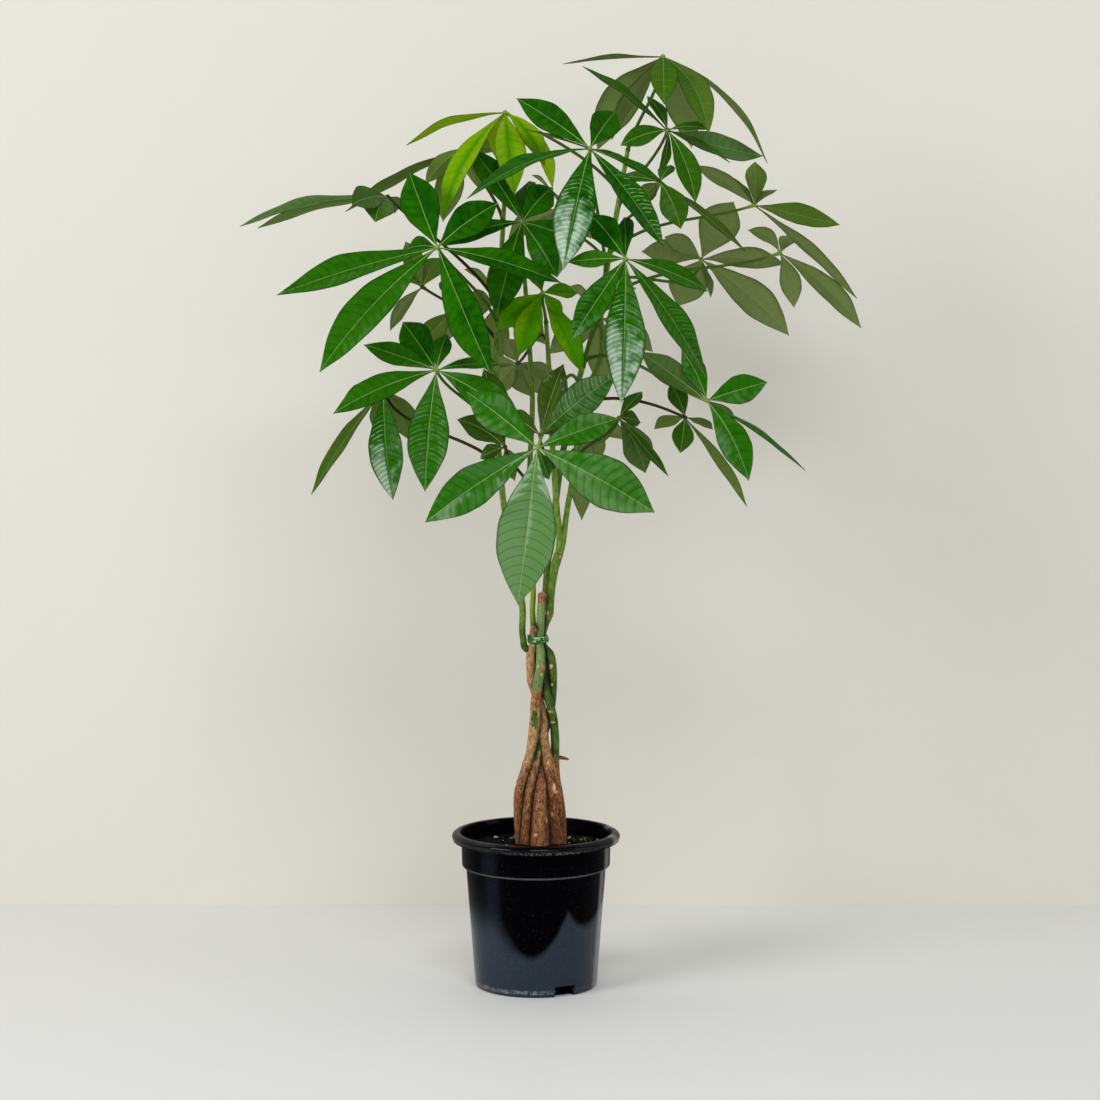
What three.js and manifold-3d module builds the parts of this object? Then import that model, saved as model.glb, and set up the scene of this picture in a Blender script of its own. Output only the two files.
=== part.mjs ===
// A potted money tree: five braided stems in a black nursery pot, with hand-shaped leaves on long stalks.
// Millimetres, +Z up. The origin is on the pot's axis, in the plane it stands on. The front faces -Y.
import * as THREE from "three";
import Module from "manifold-3d";
import { mergeVertices } from "three/addons/utils/BufferGeometryUtils.js";

const wasm = await Module();
wasm.setup();

// Room left between two pieces that touch on the real plant
const GAP = 0.3;

// The pot: a 6 inch nursery pot with a turned-down lip, a collar and a tapered body
const RIM_R = 76;
const RIM_Z = 141;
const MOUTH_R = 67.4;
const LIP_DROP = 8;
const COLLAR_R = 67;
const COLLAR_Z = 107;
const BODY_TOP_R = 63.2;
const FOOT_R = 55.2;
const WALL = 2.2;
const POT_SIDES = 28;
const NOTCH_WIDTH = 20;
const NOTCH_HEIGHT = 6.5;
const NOTCH_DEPTH = 7;
const NOTCH_ANGLES = [-61.5, 58.5, 178.5];

// The potting mix, level with the collar and slightly mounded round the stems
const SOIL_EDGE_Z = 127;
const SOIL_MOUND_Z = 130.5;
const ROOT_END_Z = 66;

// The wire tie: three turns round the waist of the braid
const TIE_CENTRE = [1.9, 0.4, 315];
const TIE_R = 8.7;
const WIRE_R = 1.05;
const TURNS = 3;

const STEM_SIDES = 7;
const SHOOT_SIDES = 6;
const STALK_SIDES = 4;
const STALK_R = 1.25;
const HUB_R = 3.6;
const MIDRIB_HALF = 0.65;
const BLADE_HALF = 0.33;
const FOLD = 0.16;
const SMALL_LEAFLET = 82;
const BASE_SHARE = 0.3;

// How far a stalk may be moved aside or lifted, and a leaflet's tip bent or swung, to pass clear of the rest
const STALK_SHIFTS = [0, 10, -10, 20, -20, 30, -30, 40, -40, 55, -55];
const BENDS = [0, -8, 8, -16, 16, -24, 24, -32, 32, -40, 40, -50, 50, -60, 60];
const SWINGS = [0, 6, -6, 12, -12, 20, -20, 30, -30];

// Each stem is a run of places on its centre line, [x, y, z, radius], from its root end upwards.
// The side shoots start inside the stem that bears them.
const STEMS = {
  stem_1: {
    trunk: [
      [-10, -3, ROOT_END_Z, 3], [-13, -4, 100, 4.6], [-13, -4, 128, 5.2], [-15.5, -6, 156, 4.8],
      [-15, -6, 177, 4.6], [-9, -7, 198, 4.6], [-4, -7, 214, 4.6], [-3, -7, 230, 4.2], [-2, -8, 245, 3.9],
      [-1, -8, 262, 4], [1.4, -8, 276, 3.7], [4, -8, 291, 3.9], [4.4, -7, 305, 3.6], [4, -5.5, 316, 3.3],
      [4.6, -4, 329, 3.2], [5, -3.5, 343, 3.2], [6, -4, 357, 3.4],
    ],
  },
  stem_2: {
    trunk: [
      [15, -2, ROOT_END_Z, 4], [18, -2, 100, 6.6], [19.7, -2, 128, 8], [19.4, -3, 150, 7.7], [18, -4, 170, 7],
      [15, -6, 187, 6.1], [12, -7, 201, 5.2], [9.4, -6, 213, 4.6], [7.2, -4, 228, 4.2], [7, -2, 241, 3.7],
      [5, 0, 254, 3.8], [0, 2, 266, 4], [-3.6, 2, 278, 4.1], [-4.4, 1, 292, 4.1], [-4, 0, 304, 4.4],
      [-3, -1.5, 315, 3.8], [-0.8, -4, 326, 3.8],
    ],
    shoot_left: [
      [-4, 0, 306, 3.4], [-9, -0.5, 307.5, 3.3], [-11.5, 0, 317, 3], [-12, 1, 344, 3],
      [-22, 2, 393, 2.9], [-29, 3, 440, 2.8], [-34, 2, 495, 2.7], [-35, 0, 548, 2.6], [-34.5, 2, 601, 2.5],
      [-31, 8, 655, 2.3], [-27, 10, 722, 1.8],
    ],
  },
  stem_3: {
    trunk: [
      [-5, -4, ROOT_END_Z, 3], [-5, -6, 100, 5], [-5.5, -8, 128, 5.6], [-6.2, -10, 156, 5.2],
      [-6.2, -9, 177, 5], [-3, -8, 193, 4.7], [0.6, -6.5, 207, 4.3], [3.5, -3.5, 218, 4], [6.5, 1.5, 228, 3.9],
      [11, 4, 242, 3.9], [14, 3, 256, 3.8], [15, 0, 268, 3.7], [15.6, -3, 283, 3.5], [14, -4, 299, 3.7],
      [10.4, -2, 310, 3.5], [7.4, 0.5, 320, 3.3], [9, 0.5, 331, 3.5], [12, 0, 338, 3.7], [13, 0, 348, 3.4],
      [15, 0, 368, 3.4], [18, 0, 385, 4.1], [20.5, 0, 393, 4.2],
    ],
    shoot_middle: [
      [19, 0, 386, 3.2], [21, 0, 402, 2.9], [18.6, -3.4, 436, 2.8], [14.6, -5, 496, 2.5], [13, -3, 540, 2.3],
      [9, 2, 602, 1.9],
    ],
    shoot_right: [
      [19, 0, 384, 3], [23.6, 1, 400, 2.8], [27, 2, 425, 2.6], [36.4, 5, 485, 2.6], [38, 6, 545, 2.6],
      [49, 10, 584, 2.6], [65, 18, 655, 2.5], [73, 20, 701, 2.4], [82, 20, 753, 1.9],
    ],
  },
  stem_4: {
    trunk: [
      [3, -10, ROOT_END_Z, 3.6], [3, -11, 100, 6], [2.8, -12, 128, 7.2], [3.4, -13, 153, 6.1],
      [3.8, -12, 171, 5.4], [4, -9, 187, 4.8], [4.6, -3, 202, 4.5], [5, 3, 215, 4.4], [4.6, 7, 228, 4.2],
      [3, 8.4, 246, 4], [3.4, 7, 264, 4], [5, 6, 283, 3.8], [3, 5.6, 301, 3.6], [-1, 5, 316, 3.1],
      [-2.4, 2.6, 330, 2.7], [-3, 0.6, 342, 2.5], [-2.4, 0, 355, 2.5], [-6.6, 2, 410, 2.4],
      [-5.5, 0, 468, 2.4], [-3, -4.6, 530, 2.3], [-6, -6, 585, 2.1], [-10, -8, 642, 1.9],
    ],
  },
  stem_5: {
    trunk: [
      [18, 8, ROOT_END_Z, 3.4], [21, 8, 100, 5.4], [22, 8, 128, 6], [21.6, 8, 149, 5.5], [20, 8, 171, 5],
      [17.6, 6, 189, 4.4], [17.2, 4, 207, 4], [17.2, 2, 226, 3.9], [15.8, -1, 243, 3.8], [13.4, -4, 255, 3.8],
      [10, -5, 266, 3.8], [8.8, -3, 276, 3.6], [9.6, 1, 286, 3.4], [8, 5, 301, 3.3], [5.5, 6.6, 316, 3.1],
      [7, 7, 331, 3.1], [11, 9, 387, 3.1], [18, 15, 440, 3], [27, 22, 494, 2.9],
      [40, 28, 529, 2.8], [57, 30, 562, 2.7], [58, 35, 619, 2.1],
    ],
    stub: [[16, 4, 208, 1.9], [22, 4, 207.5, 1.9], [29.5, 4, 206.5, 2.1]],
  },
};

// The leaves, nearest and best seen first. "on" is the shoot that bears the stalk and the height it leaves
// at; "arrive" is the stalk's direction at the hub and "face" the way the fan of leaflets looks.
// A leaflet is [right, back, up, width, roll, arch]: its tip from the hub, its widest measure, the turn of
// its blade about its midrib in degrees, and how far the midrib bows, as a share of its length.
const LEAVES = {
  leaf_front_low: {
    hub: [2, -150, 499], on: ["shoot_right", 546], face: [0, -0.9, 0.45], arrive: [-0.3, -0.65, -0.7],
    leaflets: [
      [-16, -35, -130, 50, 0, 0.08], [-95, -5, -63, 35, -10, 0.14], [99, -10, -54, 43, 15, 0.12],
      [69, 30, 23, 26, 10, 0.1], [-60, 35, 45, 32, -20, 0.12], [10, 15, -28, 14, -25],
    ],
  },
  leaf_front_right: {
    hub: [77, -115, 658], on: ["shoot_right", 560], face: [0.1, -0.85, 0.5],
    leaflets: [
      [-4, -35, -121, 36, -10, 0.12], [68, -20, -100, 34, -30, 0.16], [-41, -20, -71, 26, 10, 0.1],
      [71, 15, -28, 25, -20, 0.2], [-49, 0, -3, 16, -5], [-29, 40, 37, 25, -20], [0, 50, 35, 19, -40],
    ],
  },
  leaf_front_top: {
    hub: [47, -80, 752], on: ["shoot_right", 645], face: [0, -0.8, 0.6],
    leaflets: [
      [-23, -45, -103, 35, 0, 0.14], [63, -30, -84, 31, -25, 0.14], [-63, 15, 43, 25, -15, 0.1],
      [-105, -30, -43, 32, 35, 0.26], [23, 60, 33, 27, 20, 0.1], [67, 10, -32, 22, -35, 0.14],
      [44, 40, -20, 18, -20], [-56, 25, 17, 15, 50, 0.06],
    ],
  },
  leaf_front_left: {
    hub: [-85, -65, 667], on: ["shoot_left", 600], face: [-0.35, -0.7, 0.6],
    leaflets: [
      [-139, -5, -41, 40, 10, 0.06], [-100, -40, -106, 42, -5, 0.12], [47, -45, -107, 36, 20, 0.08],
      [-25, 25, 65, 34, 5, 0.1], [52, 20, 38, 30, 36, 0.12], [107, -20, -30, 30, -20, 0.12],
      [-28, 50, -2, 18, -25],
    ],
  },
  leaf_low_left: {
    hub: [-86, -70, 561], on: ["shoot_left", 500], face: [-0.2, -0.75, 0.6],
    leaflets: [
      [-9, -35, -103, 36, -15, 0.1], [-89, -15, -37, 29, 0, 0.14], [-64, 20, 21, 22, 0, 0.08],
      [74, -10, -47, 29, 25, 0.22], [56, 20, 4, 18, -15, 0.16], [8, 30, 30, 17, 15], [-31, 45, 40, 29, -10, 0.14],
    ],
  },
  leaf_middle: {
    hub: [6, -35, 627], on: ["shoot_middle", 600], face: [0, -0.5, 0.85],
    leaflets: [
      [-20, -20, -54, 24, -20, 0.14], [35, -30, -69, 24, -5, 0.12], [-39, -10, -32, 22, -45], [31, 25, -1, 16, 30],
      [21, -10, -18, 14, 5], [-17, 40, 27, 17, -25],
    ],
  },
  leaf_centre: {
    hub: [-12, -30, 689], on: ["stem_4", 640], face: [0, -0.6, 0.8],
    leaflets: [
      [-22, -25, -83, 32, -10, 0.12], [-45, 30, 65, 26, -5, 0.1], [27, 40, 30, 27, 30, 0.14],
      [31, -20, -48, 24, 25], [-69, -10, -21, 22, -10, 0.16], [8, 60, 44, 22, -25], [51, 5, -20, 20, 50],
    ],
  },
  leaf_young: {
    hub: [-27, -5, 785], on: ["shoot_right", 714], face: [-0.1, -0.1, 1], arrive: [-0.85, -0.2, 0.5],
    leaflets: [
      [-54, -30, -92, 32, -10, 0.18], [9, -55, -73, 28, -15, 0.26], [-87, -5, -29, 26, 20, 0.13],
      [42, 20, -66, 25, -15, 0.24], [35, -30, -47, 20, 15, 0.24], [-8, 60, -41, 22, -20, 0.24],
    ],
  },
  leaf_top: {
    hub: [113, 20, 835], on: ["shoot_right", 752], face: [0, 0, 1],
    leaflets: [
      [39, -45, -69, 27, 20, 0.26], [-1, -60, -44, 25, 0, 0.22], [94, 10, -94, 26, 20, 0.2],
      [-89, -10, -7, 24, 5, 0.04], [-57, 70, -81, 37, 30, 0.16], [-45, 20, -73, 24, 10, 0.12],
      [29, 70, -79, 33, -20, 0.2],
    ],
  },
  leaf_upper_right: {
    hub: [117, 10, 770], on: ["shoot_right", 700], face: [0.5, -0.3, 0.8], arrive: [0.3, -0.1, 0.95],
    leaflets: [
      [-72, 10, 58, 25, 0, 0.06], [24, -25, -64, 23, 35, 0.14], [-42, -15, -14, 18, -45, 0.16],
      [-17, 35, 31, 15, -15], [35, -20, 0, 15, 30, 0.16], [55, -10, -29, 16, 0, 0.1], [-7, 15, -40, 14, 40],
      [88, 50, -22, 30, 20, -0.05],
    ],
  },
  leaf_right: {
    hub: [152, -10, 531], on: ["shoot_right", 566], face: [0.3, -0.4, 0.85], arrive: [0.95, -0.1, -0.3],
    leaflets: [
      [36, -30, -69, 28, 45, 0.14], [53, -10, 17, 26, 65, 0.03], [89, 5, -63, 24, -15, 0.05],
      [-22, 15, 45, 20, -45], [-58, 30, 42, 25, -40, 0.02], [23, 50, -25, 18, -35],
    ],
  },
  leaf_small_right: {
    hub: [134, 20, 514], on: ["stem_5", 524], face: [0.2, 0, 1], arrive: [0.9, 0, -0.45],
    leaflets: [
      [-5, -25, -30, 20, 0, 0.12], [-13, 20, 30, 18, -50], [56, 0, -80, 22, -25, 0.05], [26, 20, -12, 14, -25],
      [-26, 40, -13, 15, 25],
    ],
  },
  leaf_middle_right: {
    hub: [109, -20, 724], on: ["shoot_right", 676], face: [0.2, -0.3, 0.9],
    leaflets: [
      [18, -20, -41, 25, 40, 0.16], [77, 10, -61, 20, 5, 0.04], [11, 25, 15, 15, -15], [-17, 30, -20, 16, 40],
      [-35, 20, 4, 15, -30],
    ],
  },
  leaf_inner_low: {
    hub: [4, -50, 503], on: ["shoot_middle", 468], face: [0, -0.5, 0.8],
    leaflets: [
      [67, -13, 54, 30, 50, 0.06], [26, 20, 59, 25, 20, 0.1], [31, 40, 6, 17, 55], [-31, 40, 15, 19, -45],
    ],
  },
  leaf_inner_left: {
    hub: [-27, -30, 491], on: ["stem_4", 452], face: [-0.2, -0.3, 0.9],
    leaflets: [
      [-42, -10, 25, 22, -70, 0.16], [-42, 30, 48, 27, -35, 0.12], [-22, 15, 41, 19, -20], [-22, 10, -11, 15, -50],
      [8, 40, -33, 16, -25],
    ],
  },
  leaf_inner_right: {
    hub: [74, -5, 515], on: ["shoot_right", 478], face: [0.2, -0.3, 0.9],
    leaflets: [
      [24, 14, -50, 28, 62, 0.12], [44, -10, -51, 15, 5, 0.03], [20, 30, -6, 15, 50], [21, 40, 14, 14, -5],
      [-25, 30, -27, 18, 55],
    ],
  },
  leaf_far_left: {
    hub: [-131, 0, 711], on: ["shoot_left", 616], face: [-0.2, -0.1, 1], arrive: [-0.7, -0.05, 0.7],
    leaflets: [
      [-130, -15, -26, 33, -10, 0.11], [-9, -40, -22, 29, -30, 0.2], [-119, 30, -20, 29, 20, 0.08],
      [-28, -60, -7, 25, -60, 0.1], [4, 50, -14, 20, 0],
    ],
  },
  leaf_left_back: {
    hub: [-137, 25, 540], on: ["shoot_left", 470], face: [-0.2, -0.2, 1],
    leaflets: [
      [9, -20, -99, 32, 0, 0.14], [-65, -10, -95, 28, -5, 0.05], [24, 30, -50, 26, -35, 0.12],
      [-34, -10, -7, 16, -35], [-3, 60, -51, 23, -5, 0.16],
    ],
  },
  leaf_upper_left: {
    hub: [-64, 60, 756], on: ["shoot_left", 690], face: [-0.3, 0.3, 0.9],
    leaflets: [
      [-108, -10, -58, 28, 0, 0.05], [-35, -20, -33, 17, 70], [-21, 25, -67, 26, 45, 0.14],
      [12, 60, -38, 22, 40, 0.14], [31, 30, -2, 16, -30],
    ],
  },
  leaf_back_right: {
    hub: [153, 130, 654], on: ["shoot_right", 630], face: [0.2, 0.4, 0.9],
    leaflets: [
      [79, 20, -5, 24, -35, 0.1], [85, 40, -72, 34, -30, 0.08], [28, -30, 53, 38, -15, 0.1],
      [-20, 30, -44, 36, 10, 0.12], [-55, 10, 7, 23, 60], [-35, -30, 21, 18, 55], [11, 40, -36, 16, 40],
    ],
  },
  leaf_far_right: {
    hub: [200, 95, 704], on: ["shoot_right", 662], face: [0.2, 0.2, 1], arrive: [0.9, 0.25, 0.3],
    leaflets: [
      [79, 10, -18, 26, 60, 0.02], [94, -5, -85, 26, -10, 0.05], [3, 45, 40, 20, -10], [-56, -10, 36, 20, 25, 0.1],
      [-19, 35, 34, 14, 0], [22, 60, 14, 18, -10],
    ],
  },
  leaf_right_end: {
    hub: [226, 130, 660], on: ["stem_5", 616], face: [0.4, 0.1, 0.9], arrive: [0.9, 0.3, 0.3],
    leaflets: [
      [75, -10, -69, 27, -40, 0.1], [15, 20, -51, 20, -55, 0.12], [-31, -20, 21, 15, 50, 0.3], [14, 50, 16, 16, -15],
    ],
  },
  leaf_back_low: {
    hub: [47, 60, 505], on: ["stem_5", 470], face: [0, 0.3, 0.9],
    leaflets: [
      [-5, 30, -90, 28, -25, 0.14], [12, 45, -37, 19, -15], [-25, 60, -18, 20, 15], [35, 50, -17, 18, -30],
      [3, 60, 24, 19, -20],
    ],
  },
  leaf_back_centre: {
    hub: [-17, 80, 560], on: ["shoot_middle", 585], face: [0, 0.5, 0.8], arrive: [-0.3, 0.85, -0.2],
    leaflets: [
      [11, 35, -32, 29, -15, 0.14], [30, 30, -28, 25, -35, 0.14], [-13, 30, -30, 25, 15, 0.14], [35, 0, -9, 15, 0],
      [-12, 10, 22, 18, 50], [-35, 20, -9, 16, 45],
    ],
  },
  leaf_back_left: {
    hub: [-103, 60, 630], on: ["shoot_left", 584], face: [-0.2, 0.1, 1], arrive: [-0.75, 0.3, 0.5],
    leaflets: [
      [-29, -10, -39, 16, 50, 0.14], [16, 20, 26, 20, 55], [-29, 10, 13, 14, -30], [-15, 30, 36, 19, -15],
      [4, 55, 10, 18, 5, 0.1],
    ],
  },
  leaf_behind_left: {
    hub: [-72, 70, 609], on: ["shoot_left", 556], face: [-0.2, 0.2, 1],
    leaflets: [
      [-35, -20, -41, 22, -80, 0.14], [-16, 20, -33, 18, 45], [20, 50, -29, 19, -20], [29, 60, 8, 19, -55],
      [-13, 60, 26, 19, 15],
    ],
  },
  leaf_back_top: {
    hub: [24, 105, 700], on: ["shoot_right", 650], face: [0, 0.7, 0.7],
    leaflets: [
      [-4, 55, -62, 29, 0, 0.14], [48, 45, -32, 26, -10, 0.14], [-50, 45, -26, 26, 10, 0.14],
      [30, 58, 30, 23, 0, 0.12], [-28, 58, 32, 22, 0, 0.12],
    ],
  },
  leaf_back_middle: {
    hub: [60, 140, 600], on: ["stem_5", 596], face: [0.1, 0.8, 0.6],
    leaflets: [
      [4, 50, -72, 31, 0, 0.14], [50, 45, -34, 26, -10, 0.14], [-48, 45, -36, 27, 10, 0.14],
      [34, 52, 26, 23, 0, 0.12], [-28, 54, 28, 22, 0, 0.12],
    ],
  },
  leaf_back_inner: {
    hub: [-34, 125, 618], on: ["shoot_left", 575], face: [-0.1, 0.8, 0.6],
    leaflets: [
      [-10, 50, -74, 30, 0, 0.14], [42, 45, -44, 26, -10, 0.14], [-54, 45, -32, 26, 10, 0.14],
      [24, 54, 26, 22, 0, 0.12], [-34, 54, 26, 22, 0, 0.12],
    ],
  },
};

const vector = ([x, y, z]) => new THREE.Vector3(x, y, z);

// A closed body through rings of points that run the same way round. From side "mirrored" on, the faces
// are split along the other diagonal, so that a thin blade's two faces are cut alike.
function loft(rings, mirrored = Infinity) {
  const count = rings[0].length;
  const last = (rings.length - 1) * count;
  const faces = [];
  for (let start = 0; start < last; start += count) {
    for (let k = 0; k < count; k += 1) {
      const a = start + k;
      const b = start + (k + 1) % count;
      if (k < mirrored) {
        faces.push(a, b, b + count, a, b + count, a + count);
      } else {
        faces.push(a, b, a + count, b, b + count, a + count);
      }
    }
  }
  for (let k = 1; k + 1 < count; k += 1) {
    faces.push(0, k + 1, k, last, last + k, last + k + 1);
  }
  const geometry = new THREE.BufferGeometry();
  geometry.setAttribute("position", new THREE.Float32BufferAttribute(rings.flat().flatMap((p) => p.toArray()), 3));
  geometry.setIndex(faces);
  return geometry;
}

function solid(geometry) {
  const bare = geometry.clone();
  bare.deleteAttribute("normal");
  bare.deleteAttribute("uv");
  const merged = mergeVertices(bare, 1e-4);
  const corners = merged.index.array;
  const faces = [];
  for (let i = 0; i < corners.length; i += 3) {
    const [a, b, c] = corners.subarray(i, i + 3);
    if (a !== b && b !== c && c !== a) {
      faces.push(a, b, c);
    }
  }
  return new wasm.Manifold(new wasm.Mesh({
    numProp: 3,
    vertProperties: merged.attributes.position.array,
    triVerts: new Uint32Array(faces),
  }));
}

// The biggest body of a cut solid: a loose scrap is left out.
function mainBody(shape) {
  return shape.decompose().sort((a, b) => b.volume() - a.volume())[0];
}

// A round body along a run of [x, y, z, radius] places, fatter and longer by "grow" on every side.
function rod(places, sides, grow = 0) {
  const centres = places.map(vector);
  const ends = [centres[0], centres[centres.length - 1]];
  const way = centres.map((_, i) => centres[Math.min(i + 1, centres.length - 1)].clone()
    .sub(centres[Math.max(i - 1, 0)]).normalize());
  ends[0].addScaledVector(way[0], -grow);
  ends[1].addScaledVector(way[way.length - 1], grow);
  const side = new THREE.Vector3(0, 1, 0).cross(way[0]);
  if (side.length() < 0.1) {
    side.set(1, 0, 0);
  }
  const rings = centres.map((centre, i) => {
    side.addScaledVector(way[i], -side.dot(way[i])).normalize();
    const up = way[i].clone().cross(side);
    const radius = places[i][3] + grow;
    return Array.from({ length: sides }, (_, k) => {
      const angle = 2 * Math.PI * k / sides;
      return centre.clone().addScaledVector(side, radius * Math.cos(angle))
        .addScaledVector(up, radius * Math.sin(angle));
    });
  });
  return solid(loft(rings));
}

// The half width of a leaflet at share s of its length: a wedge at the base, widest past the middle.
const outline = (s) => Math.sin(Math.PI * s ** 1.27) ** 1.05;

// A leaflet's midrib and the way its upper face looks. "bend" moves its tip off along that way, and
// "swing" moves it along the blade.
function midrib(hub, face, [right, back, up, , roll = 0, arch = 0.12], [bend, swing]) {
  const reach = new THREE.Vector3(right, back, up);
  const way = reach.clone().normalize();
  const flat = vector(face).addScaledVector(way, -vector(face).dot(way)).normalize();
  const turn = THREE.MathUtils.degToRad(roll);
  const normal = flat.clone().multiplyScalar(Math.cos(turn)).addScaledVector(way.clone().cross(flat), Math.sin(turn));
  const shift = normal.clone().multiplyScalar(bend).addScaledVector(way.cross(normal), swing);
  const middle = hub.clone().addScaledVector(reach, 0.5).addScaledVector(flat, arch * reach.length())
    .addScaledVector(shift, 0.5);
  const tip = hub.clone().add(reach).add(shift);
  return { curve: new THREE.QuadraticBezierCurve3(hub, middle, tip), normal };
}

// A thin leaf blade, folded a little along a thicker midrib, from share "from" of its length outwards.
function blade(hub, face, leaflet, bend, grow = 0, from = 0) {
  const { curve, normal } = midrib(hub, face, leaflet, bend);
  const width = leaflet[3];
  const small = curve.getLength() < SMALL_LEAFLET;
  const segments = small ? 3 : 4;
  const stations = Array.from({ length: segments + 1 }, (_, k) => from + (1 - from) * (k / segments) ** 0.9);
  const rings = stations.map((s) => {
    const centre = curve.getPoint(s);
    const way = curve.getTangent(s);
    const side = normal.clone().cross(way).normalize();
    const up = way.clone().cross(side);
    const share = outline(s);
    const half = Math.max(width / 2 * share, s < 0.5 ? 0.7 : 0.5) + grow;
    const lift = FOLD * half * share;
    const rib = MIDRIB_HALF + grow;
    const edge = BLADE_HALF + grow;
    const upper = small ? [[half, edge], [-half, edge]] : [[half, lift + edge], [0, rib], [-half, lift + edge]];
    const lower = small ? [[-half, -edge], [half, -edge]] : [[-half, lift - edge], [0, -rib], [half, lift - edge]];
    return [...upper, ...lower].map(([across, high]) => centre.clone().addScaledVector(side, across)
      .addScaledVector(up, high));
  });
  return solid(loft(rings, small ? 2 : 3));
}

// The run of places that a leaf's stalk leaves from, the stem it belongs to and the height on it
function bearerOf(leaf) {
  const [run, height] = leaf.on;
  const stem = Object.keys(STEMS).find((name) => run in STEMS[name] || name === run);
  return { stem, places: STEMS[stem][run] ?? STEMS[stem].trunk, height };
}

function pointOn({ places, height }) {
  const next = Math.max(1, places.findIndex((place) => place[2] >= height));
  const [low, high] = [places[next - 1], places[next]];
  return vector(low).lerp(vector(high), (height - low[2]) / (high[2] - low[2]));
}

// A leaf stalk, swelling into the hub that its leaflets grow from.
function stalkPlaces(leaf, sideways, rise) {
  const start = pointOn(bearerOf(leaf));
  const hub = vector(leaf.hub);
  const span = hub.clone().sub(start);
  const third = span.length() / 3;
  const out = span.clone().setZ(Math.max(span.z, 0)).normalize().add(new THREE.Vector3(0, 0, 0.5)).normalize();
  const arrive = vector(leaf.arrive ?? leaf.face).normalize();
  const shift = span.clone().cross(new THREE.Vector3(0, 0, 1)).normalize().multiplyScalar(sideways);
  shift.z += rise;
  const curve = new THREE.CubicBezierCurve3(
    start,
    start.clone().addScaledVector(out, third).addScaledVector(shift, 0.7),
    hub.clone().addScaledVector(arrive, -third).add(shift),
    hub,
  );
  const stations = [0, 0.25, 0.5, 0.75, 0.96];
  const run = stations.map((s) => [...curve.getPoint(s).toArray(), STALK_R + 0.35 * (1 - s)]);
  run.push([...hub.toArray(), HUB_R], [...hub.clone().addScaledVector(curve.getTangent(1), 2).toArray(), HUB_R * 0.6]);
  return run;
}

const boxesMeet = (a, b) => [0, 1, 2].every((k) => a.min[k] < b.max[k] && b.min[k] < a.max[k]);

// True where a solid stays clear of every solid in a list of { shape, box, owner }.
function isClear(shape, others) {
  const box = shape.boundingBox();
  return others.every((other) => !boxesMeet(box, other.box) || shape.intersect(other.shape).volume() < 1e-3);
}

const entry = (shape, owner) => ({ shape, box: shape.boundingBox(), owner });

// The pot: an outline turned round the axis, with drain notches at the foot
function makePot() {
  const lip = RIM_Z - LIP_DROP;
  const profile = [
    [0, 0], [FOOT_R - 2.2, 0], [FOOT_R, 2.2], [BODY_TOP_R, COLLAR_Z - 1], [COLLAR_R, COLLAR_Z + 0.6],
    [COLLAR_R + 0.4, RIM_Z - 3.4], [RIM_R - 2, lip], [RIM_R - 0.4, lip], [RIM_R, lip + 1.8],
    [RIM_R - 0.5, RIM_Z - 1.6], [RIM_R - 3, RIM_Z], [MOUTH_R + 1, RIM_Z - 0.6], [MOUTH_R, RIM_Z - 2.6],
    [COLLAR_R - WALL, SOIL_EDGE_Z + 3], [COLLAR_R - WALL, COLLAR_Z + 3], [BODY_TOP_R - WALL, COLLAR_Z - 1],
    [FOOT_R - WALL, 5], [FOOT_R - WALL - 2, WALL], [0, WALL],
  ].map(([r, z]) => new THREE.Vector2(r, z));
  let pot = solid(new THREE.LatheGeometry(profile, POT_SIDES).rotateX(Math.PI / 2));
  const notch = new THREE.BoxGeometry(NOTCH_DEPTH, NOTCH_WIDTH, NOTCH_HEIGHT + 2);
  NOTCH_ANGLES.forEach((angle) => {
    const cutter = notch.clone().translate(FOOT_R - NOTCH_DEPTH / 2 + 1, 0, NOTCH_HEIGHT / 2 - 1)
      .rotateZ(THREE.MathUtils.degToRad(angle));
    pot = pot.subtract(solid(cutter));
  });
  return pot;
}

function makeSoil(holes) {
  const wall = (z) => BODY_TOP_R - WALL - GAP - (COLLAR_Z - 1 - z) * (BODY_TOP_R - FOOT_R) / (COLLAR_Z - 6);
  const low = NOTCH_HEIGHT + 1.5;
  const profile = [
    [0, WALL + GAP], [wall(low) - NOTCH_DEPTH, WALL + GAP], [wall(low) - NOTCH_DEPTH, low], [wall(low), low],
    [wall(COLLAR_Z - 1), COLLAR_Z - 1], [COLLAR_R - WALL - GAP, COLLAR_Z + 3],
    [COLLAR_R - WALL - GAP, SOIL_EDGE_Z], [48, SOIL_EDGE_Z + 1], [30, SOIL_MOUND_Z - 0.5], [0, SOIL_MOUND_Z],
  ].map(([r, z]) => new THREE.Vector2(r, z));
  const mix = solid(new THREE.LatheGeometry(profile, POT_SIDES).rotateX(Math.PI / 2));
  return holes.reduce((left, hole) => left.subtract(hole), mix);
}

// The tie: turns of wire pressed together, as one ring with a bead for each turn
function makeTie(grow = 0) {
  const points = [];
  const bead = WIRE_R + grow;
  for (let turn = 0; turn < TURNS; turn += 1) {
    const z = (turn - (TURNS - 1) / 2) * 2 * WIRE_R;
    points.push([TIE_R + bead * 0.5, z - bead * 0.86], [TIE_R + bead, z], [TIE_R + bead * 0.5, z + bead * 0.86]);
  }
  const top = (TURNS - 1) * WIRE_R + bead * 0.86;
  points.push([TIE_R - bead, top - bead * 0.5], [TIE_R - bead, bead * 0.5 - top]);
  points.push([...points[0]]);
  const ring = new THREE.LatheGeometry(points.map(([r, z]) => new THREE.Vector2(r, z)), 24).rotateX(Math.PI / 2);
  return solid(ring.translate(...TIE_CENTRE));
}

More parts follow.
